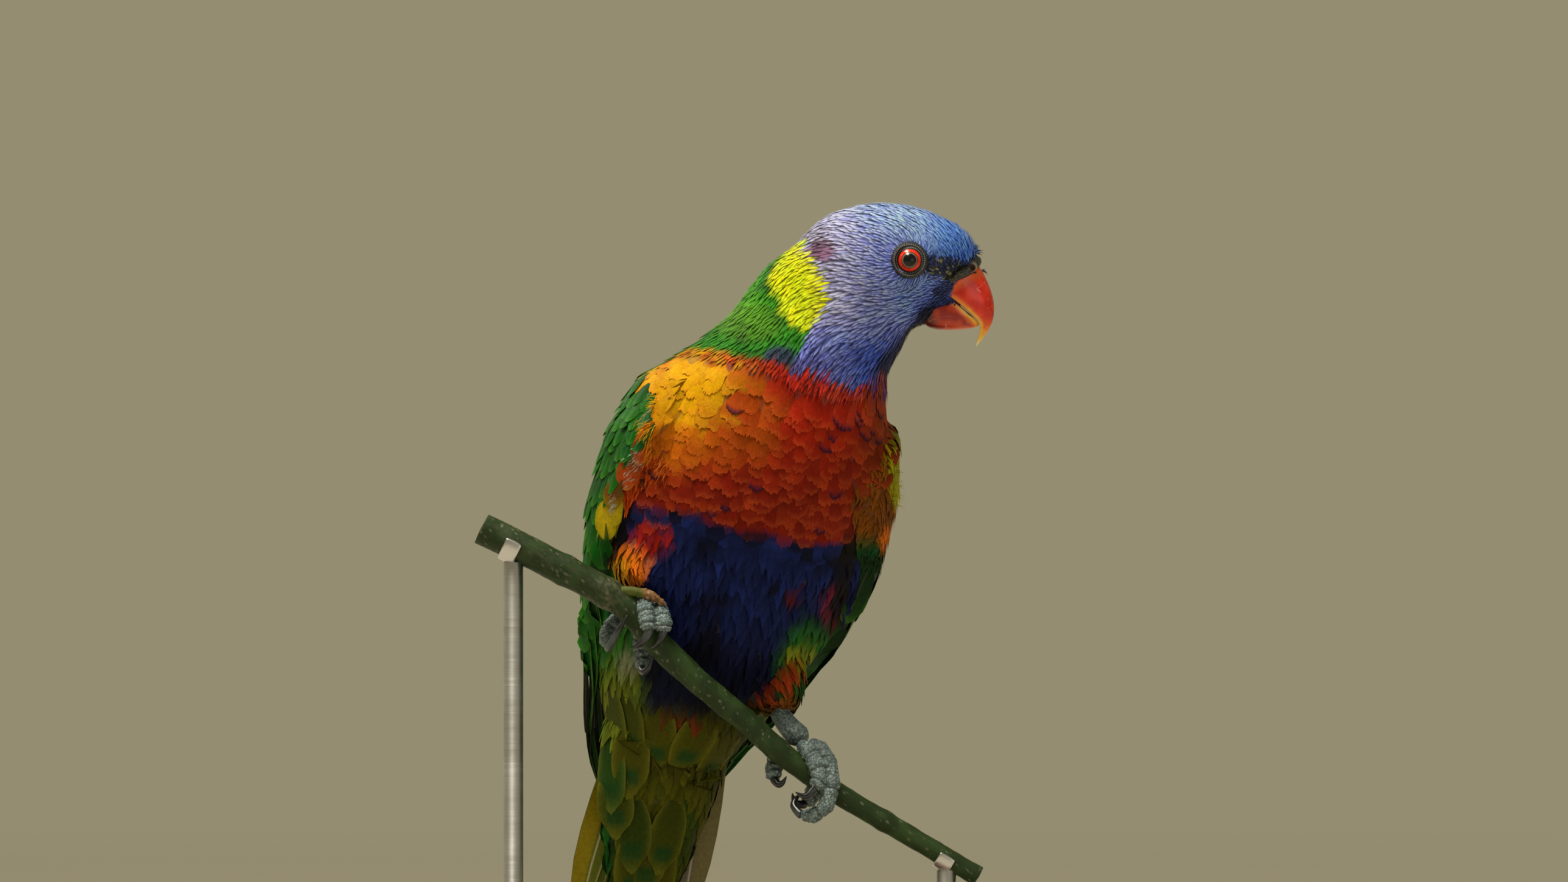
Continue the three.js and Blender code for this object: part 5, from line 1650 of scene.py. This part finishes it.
# Bark: satin, with fine cracks along the branch and small corky pores
bark, tree = new_finish("green bark")
tint = add_node(tree, "Attribute", attribute_name="Markings")
vane = add_node(tree, "UVMap", uv_map="Vane")
place = add_node(tree, "TexCoord", output="Object")
stretched = add_node(tree, "Mapping", {"Vector": vane, "Scale": (1.1, 0.12, 1.0)})
cracks = add_node(tree, "TexNoise", {"Vector": stretched, "Scale": 2.2, "Detail": 5.0, "Roughness": 0.65})
pores = add_node(tree, "TexVoronoi", {"Vector": place, "Scale": 0.42 / MM, "Randomness": 1.0})
pore = add_node(tree, "MapRange", {"Value": pores, "From Min": 0.12, "From Max": 0.06})
tone = add_node(tree, "MapRange", {"Value": cracks, "From Min": 0.3, "From Max": 0.7,
                                   "To Min": 0.72, "To Max": 1.2})
toned = add_node(tree, "VectorMath", {0: tint, "Scale": tone}, operation="SCALE")
dotted = add_node(tree, "Mix", {0: pore, 6: toned, 7: hex_colour("#565838")}, 2, data_type="RGBA")
height = add_node(tree, "Math", {0: pore, 1: 0.8, 2: cracks}, operation="MULTIPLY_ADD")
bump = add_node(tree, "Bump", {"Height": height, "Strength": 0.5, "Distance": 0.15 * MM})
satin = add_node(tree, "BsdfPrincipled", {"Base Color": dotted, "Roughness": 0.6,
                                          "Specular IOR Level": 0.25, "Normal": bump})
add_node(tree, "OutputMaterial", {"Surface": satin})

mesh = wrapped("perch_bark", 300, 61, place_perch, (25, 205))
give_colours(mesh, bark_colour(mesh_points(mesh)))
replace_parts(show("perch_bark", mesh, bark), "perch")


def place_twig(along, around):
    points = tube_round(TWIG_LINE, TWIG_RADII, (0, 1, 0), along, around, (0.02, 0.015))
    torn = ripple(points, 0.9, 18) * smoothstep(-28, -24, points[:, 0]) * 0.35
    return points + torn[:, None] * np.array((1, 0.4, 0.6)) + ripple(points, 1.4, 19)[:, None] * 0.08


mesh = wrapped("perch_twig", 60, 29, place_twig, (10, 20))
give_colours(mesh, twig_colour(mesh_points(mesh)))
show("perch_twig", mesh, bark)


# Stand: an oiled walnut base with a softened edge and a routed line, and two brushed steel rods,
# each with a collar on the base and a cradle under the perch
low, high = (np.array(corner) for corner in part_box("stand_base"))
BASE_CORNER = 0.014
BASE_EDGE = 0.0022
ROUTED_IN = 0.007
ROUTED_DEPTH = 0.0007

base = bmesh.new()
bmesh.ops.create_cube(base, size=1)
bmesh.ops.scale(base, vec=high - low, verts=base.verts)
bmesh.ops.translate(base, vec=(low + high) / 2, verts=base.verts)
upright = [edge for edge in base.edges if abs(edge.verts[0].co.z - edge.verts[1].co.z) > 0.005]
bmesh.ops.bevel(base, geom=upright, offset=BASE_CORNER, offset_type="OFFSET", affect="EDGES", segments=12,
                profile=0.5, material=-1)
base.normal_update()
top = [face for face in base.faces if face.normal.z > 0.9]
for inward, down in ((ROUTED_IN, 0), (ROUTED_DEPTH, -ROUTED_DEPTH), (ROUTED_DEPTH, ROUTED_DEPTH)):
    bmesh.ops.inset_region(base, faces=top, thickness=inward, depth=down)
base.normal_update()
rim = [edge for edge in base.edges if any(abs(face.normal.z) < 0.2 for face in edge.link_faces)
       and any(abs(face.normal.z) > 0.9 for face in edge.link_faces)]
bmesh.ops.bevel(base, geom=rim, offset=BASE_EDGE, offset_type="OFFSET", affect="EDGES", segments=5,
                profile=0.5, material=-1)
mesh = finished_mesh("walnut_base", base)

# Oiled walnut: long wandering grain with dark lines, short open pores and a low satin shine
walnut, tree = new_finish("oiled walnut")
place = add_node(tree, "TexCoord", output="Object")
long = add_node(tree, "Mapping", {"Vector": place, "Scale": (9.0, 70.0, 70.0)})
sway = add_node(tree, "TexNoise", {"Vector": long, "Scale": 0.35, "Detail": 4.0, "Distortion": 0.6})
rings = add_node(tree, "Math", {0: sway, 1: 46.0}, operation="MULTIPLY")
rings = add_node(tree, "Math", {0: rings}, operation="SINE")
ring = add_node(tree, "MapRange", {"Value": rings, "From Min": -1.0, "From Max": 1.0})
ramp = add_node(tree, "Mix", {0: ring, 6: hex_colour("#4a2f1c"), 7: hex_colour("#75502f")}, 2,
                data_type="RGBA")
short = add_node(tree, "Mapping", {"Vector": place, "Scale": (160.0, 2600.0, 2600.0)})
pores = add_node(tree, "TexNoise", {"Vector": short, "Scale": 1.0, "Detail": 2.0})
pore = add_node(tree, "MapRange", {"Value": pores, "From Min": 0.6, "From Max": 0.7, "To Max": 0.6})
wood = add_node(tree, "Mix", {0: pore, 6: ramp, 7: hex_colour("#20130b")}, 2, data_type="RGBA")
worn = add_node(tree, "MapRange", {"Value": sway, "To Min": 0.36, "To Max": 0.56})
bump = add_node(tree, "Bump", {"Height": pores, "Strength": 0.15, "Distance": 0.1 * MM})
oiled = add_node(tree, "BsdfPrincipled", {"Base Color": wood, "Roughness": worn, "Normal": bump})
add_node(tree, "OutputMaterial", {"Surface": oiled})
plinth = show("walnut_base", mesh, walnut)
mesh.polygons.foreach_set("use_smooth", np.zeros(len(mesh.polygons), bool))
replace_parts(plinth, "stand_base")

# Brushed steel: fine lines round the rods, a little uneven in shine
steel, tree = new_finish("brushed steel")
place = add_node(tree, "TexCoord", output="Object")
turned = add_node(tree, "Mapping", {"Vector": place, "Scale": (60.0, 60.0, 9000.0)})
lines = add_node(tree, "TexNoise", {"Vector": turned, "Scale": 1.0, "Detail": 3.0})
smudge = add_node(tree, "TexNoise", {"Vector": place, "Scale": 90.0, "Detail": 3.0})
mean = add_node(tree, "Math", {0: lines, 1: smudge}, operation="MULTIPLY")
dull = add_node(tree, "MapRange", {"Value": mean, "From Max": 0.5, "To Min": 0.22, "To Max": 0.46})
grey = add_node(tree, "MapRange", {"Value": lines, "To Min": 0.42, "To Max": 0.66})
metal = add_node(tree, "CombineColor", {0: grey, 1: grey, 2: grey})
bump = add_node(tree, "Bump", {"Height": lines, "Strength": 0.1, "Distance": 0.02 * MM})
brushed = add_node(tree, "BsdfPrincipled", {"Base Color": metal, "Metallic": 1.0, "Roughness": dull,
                                            "Normal": bump})
add_node(tree, "OutputMaterial", {"Surface": brushed})

COLLAR = ((3, 0), (6.4, 0), (6.6, 0.25), (6.6, 1.1), (6.2, 1.6), (3.9, 1.9), (3.5, 2.3), (3.3, 3), (3, 3.2))
CRADLE_HALF_TURN = math.radians(104)
perch_steps = through(PERCH_LINE, np.linspace(0, 1, 400))


def place_cradle(x):
    """A band bent round the underside of the perch, square to it."""
    share = np.array([np.interp(x, perch_steps[:, 0], np.linspace(0, 1, 400))])
    middle = through(PERCH_LINE, share)[0]
    forward = (through(PERCH_LINE, share + 0.01) - through(PERCH_LINE, share - 0.01))[0]
    forward /= np.linalg.norm(forward)
    radius = through(np.array(PERCH_RADII)[:, None], share)[0, 0] + 0.75
    across = np.cross(forward, (0, 0, 1))
    across /= np.linalg.norm(across)
    down = np.cross(across, forward)
    down *= -np.sign(down[2])

    def place(along, around):
        turn = (along * 2 - 1) * CRADLE_HALF_TURN
        closing = np.sqrt(1 - np.clip((np.abs(along * 2 - 1) - 0.94) / 0.06, 0, 1) ** 2)
        flat, deep = np.cos(around * math.tau), np.sin(around * math.tau)
        wide = 2.6 * np.sign(flat) * np.abs(flat) ** 0.4 * closing
        thick = radius + 0.5 * np.sign(deep) * np.abs(deep) ** 0.6 * closing
        return (middle + forward * wide[:, None] + across * (thick * np.sin(turn))[:, None]
                + down * (thick * np.cos(turn))[:, None])
    return place, middle[2] - radius


for name in ("stand_rod_left", "stand_rod_right"):
    low, high = (np.array(corner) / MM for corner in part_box(name))
    x, y = (low[:2] + high[:2]) / 2
    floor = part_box("stand_base")[1][2] / MM
    place, top = place_cradle(x)
    profile = [(0, low[2]), (2.6, low[2]), (3, low[2] + 0.4)]
    profile += [(out, floor + up) for out, up in COLLAR]
    profile += [(3, top - 0.1), (2.4, top + 0.6), (0, top + 0.6)]
    rod = bmesh.new()
    verts = [rod.verts.new((out * MM, 0, up * MM)) for out, up in profile]
    edges = [rod.edges.new(pair) for pair in zip(verts[:-1], verts[1:])]
    bmesh.ops.spin(rod, geom=verts + edges, cent=(0, 0, 0), axis=(0, 0, 1), angle=math.tau, steps=40,
                   use_merge=True)
    bmesh.ops.remove_doubles(rod, verts=rod.verts, dist=1e-6)
    bmesh.ops.recalc_face_normals(rod, faces=rod.faces)
    bmesh.ops.translate(rod, vec=(x * MM, y * MM, 0), verts=rod.verts)
    mesh = finished_mesh(name + "_steel", rod)
    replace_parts(show(name + "_steel", mesh, steel), name)
    show(name + "_cradle", wrapped(name + "_cradle", 40, 25, place), steel)
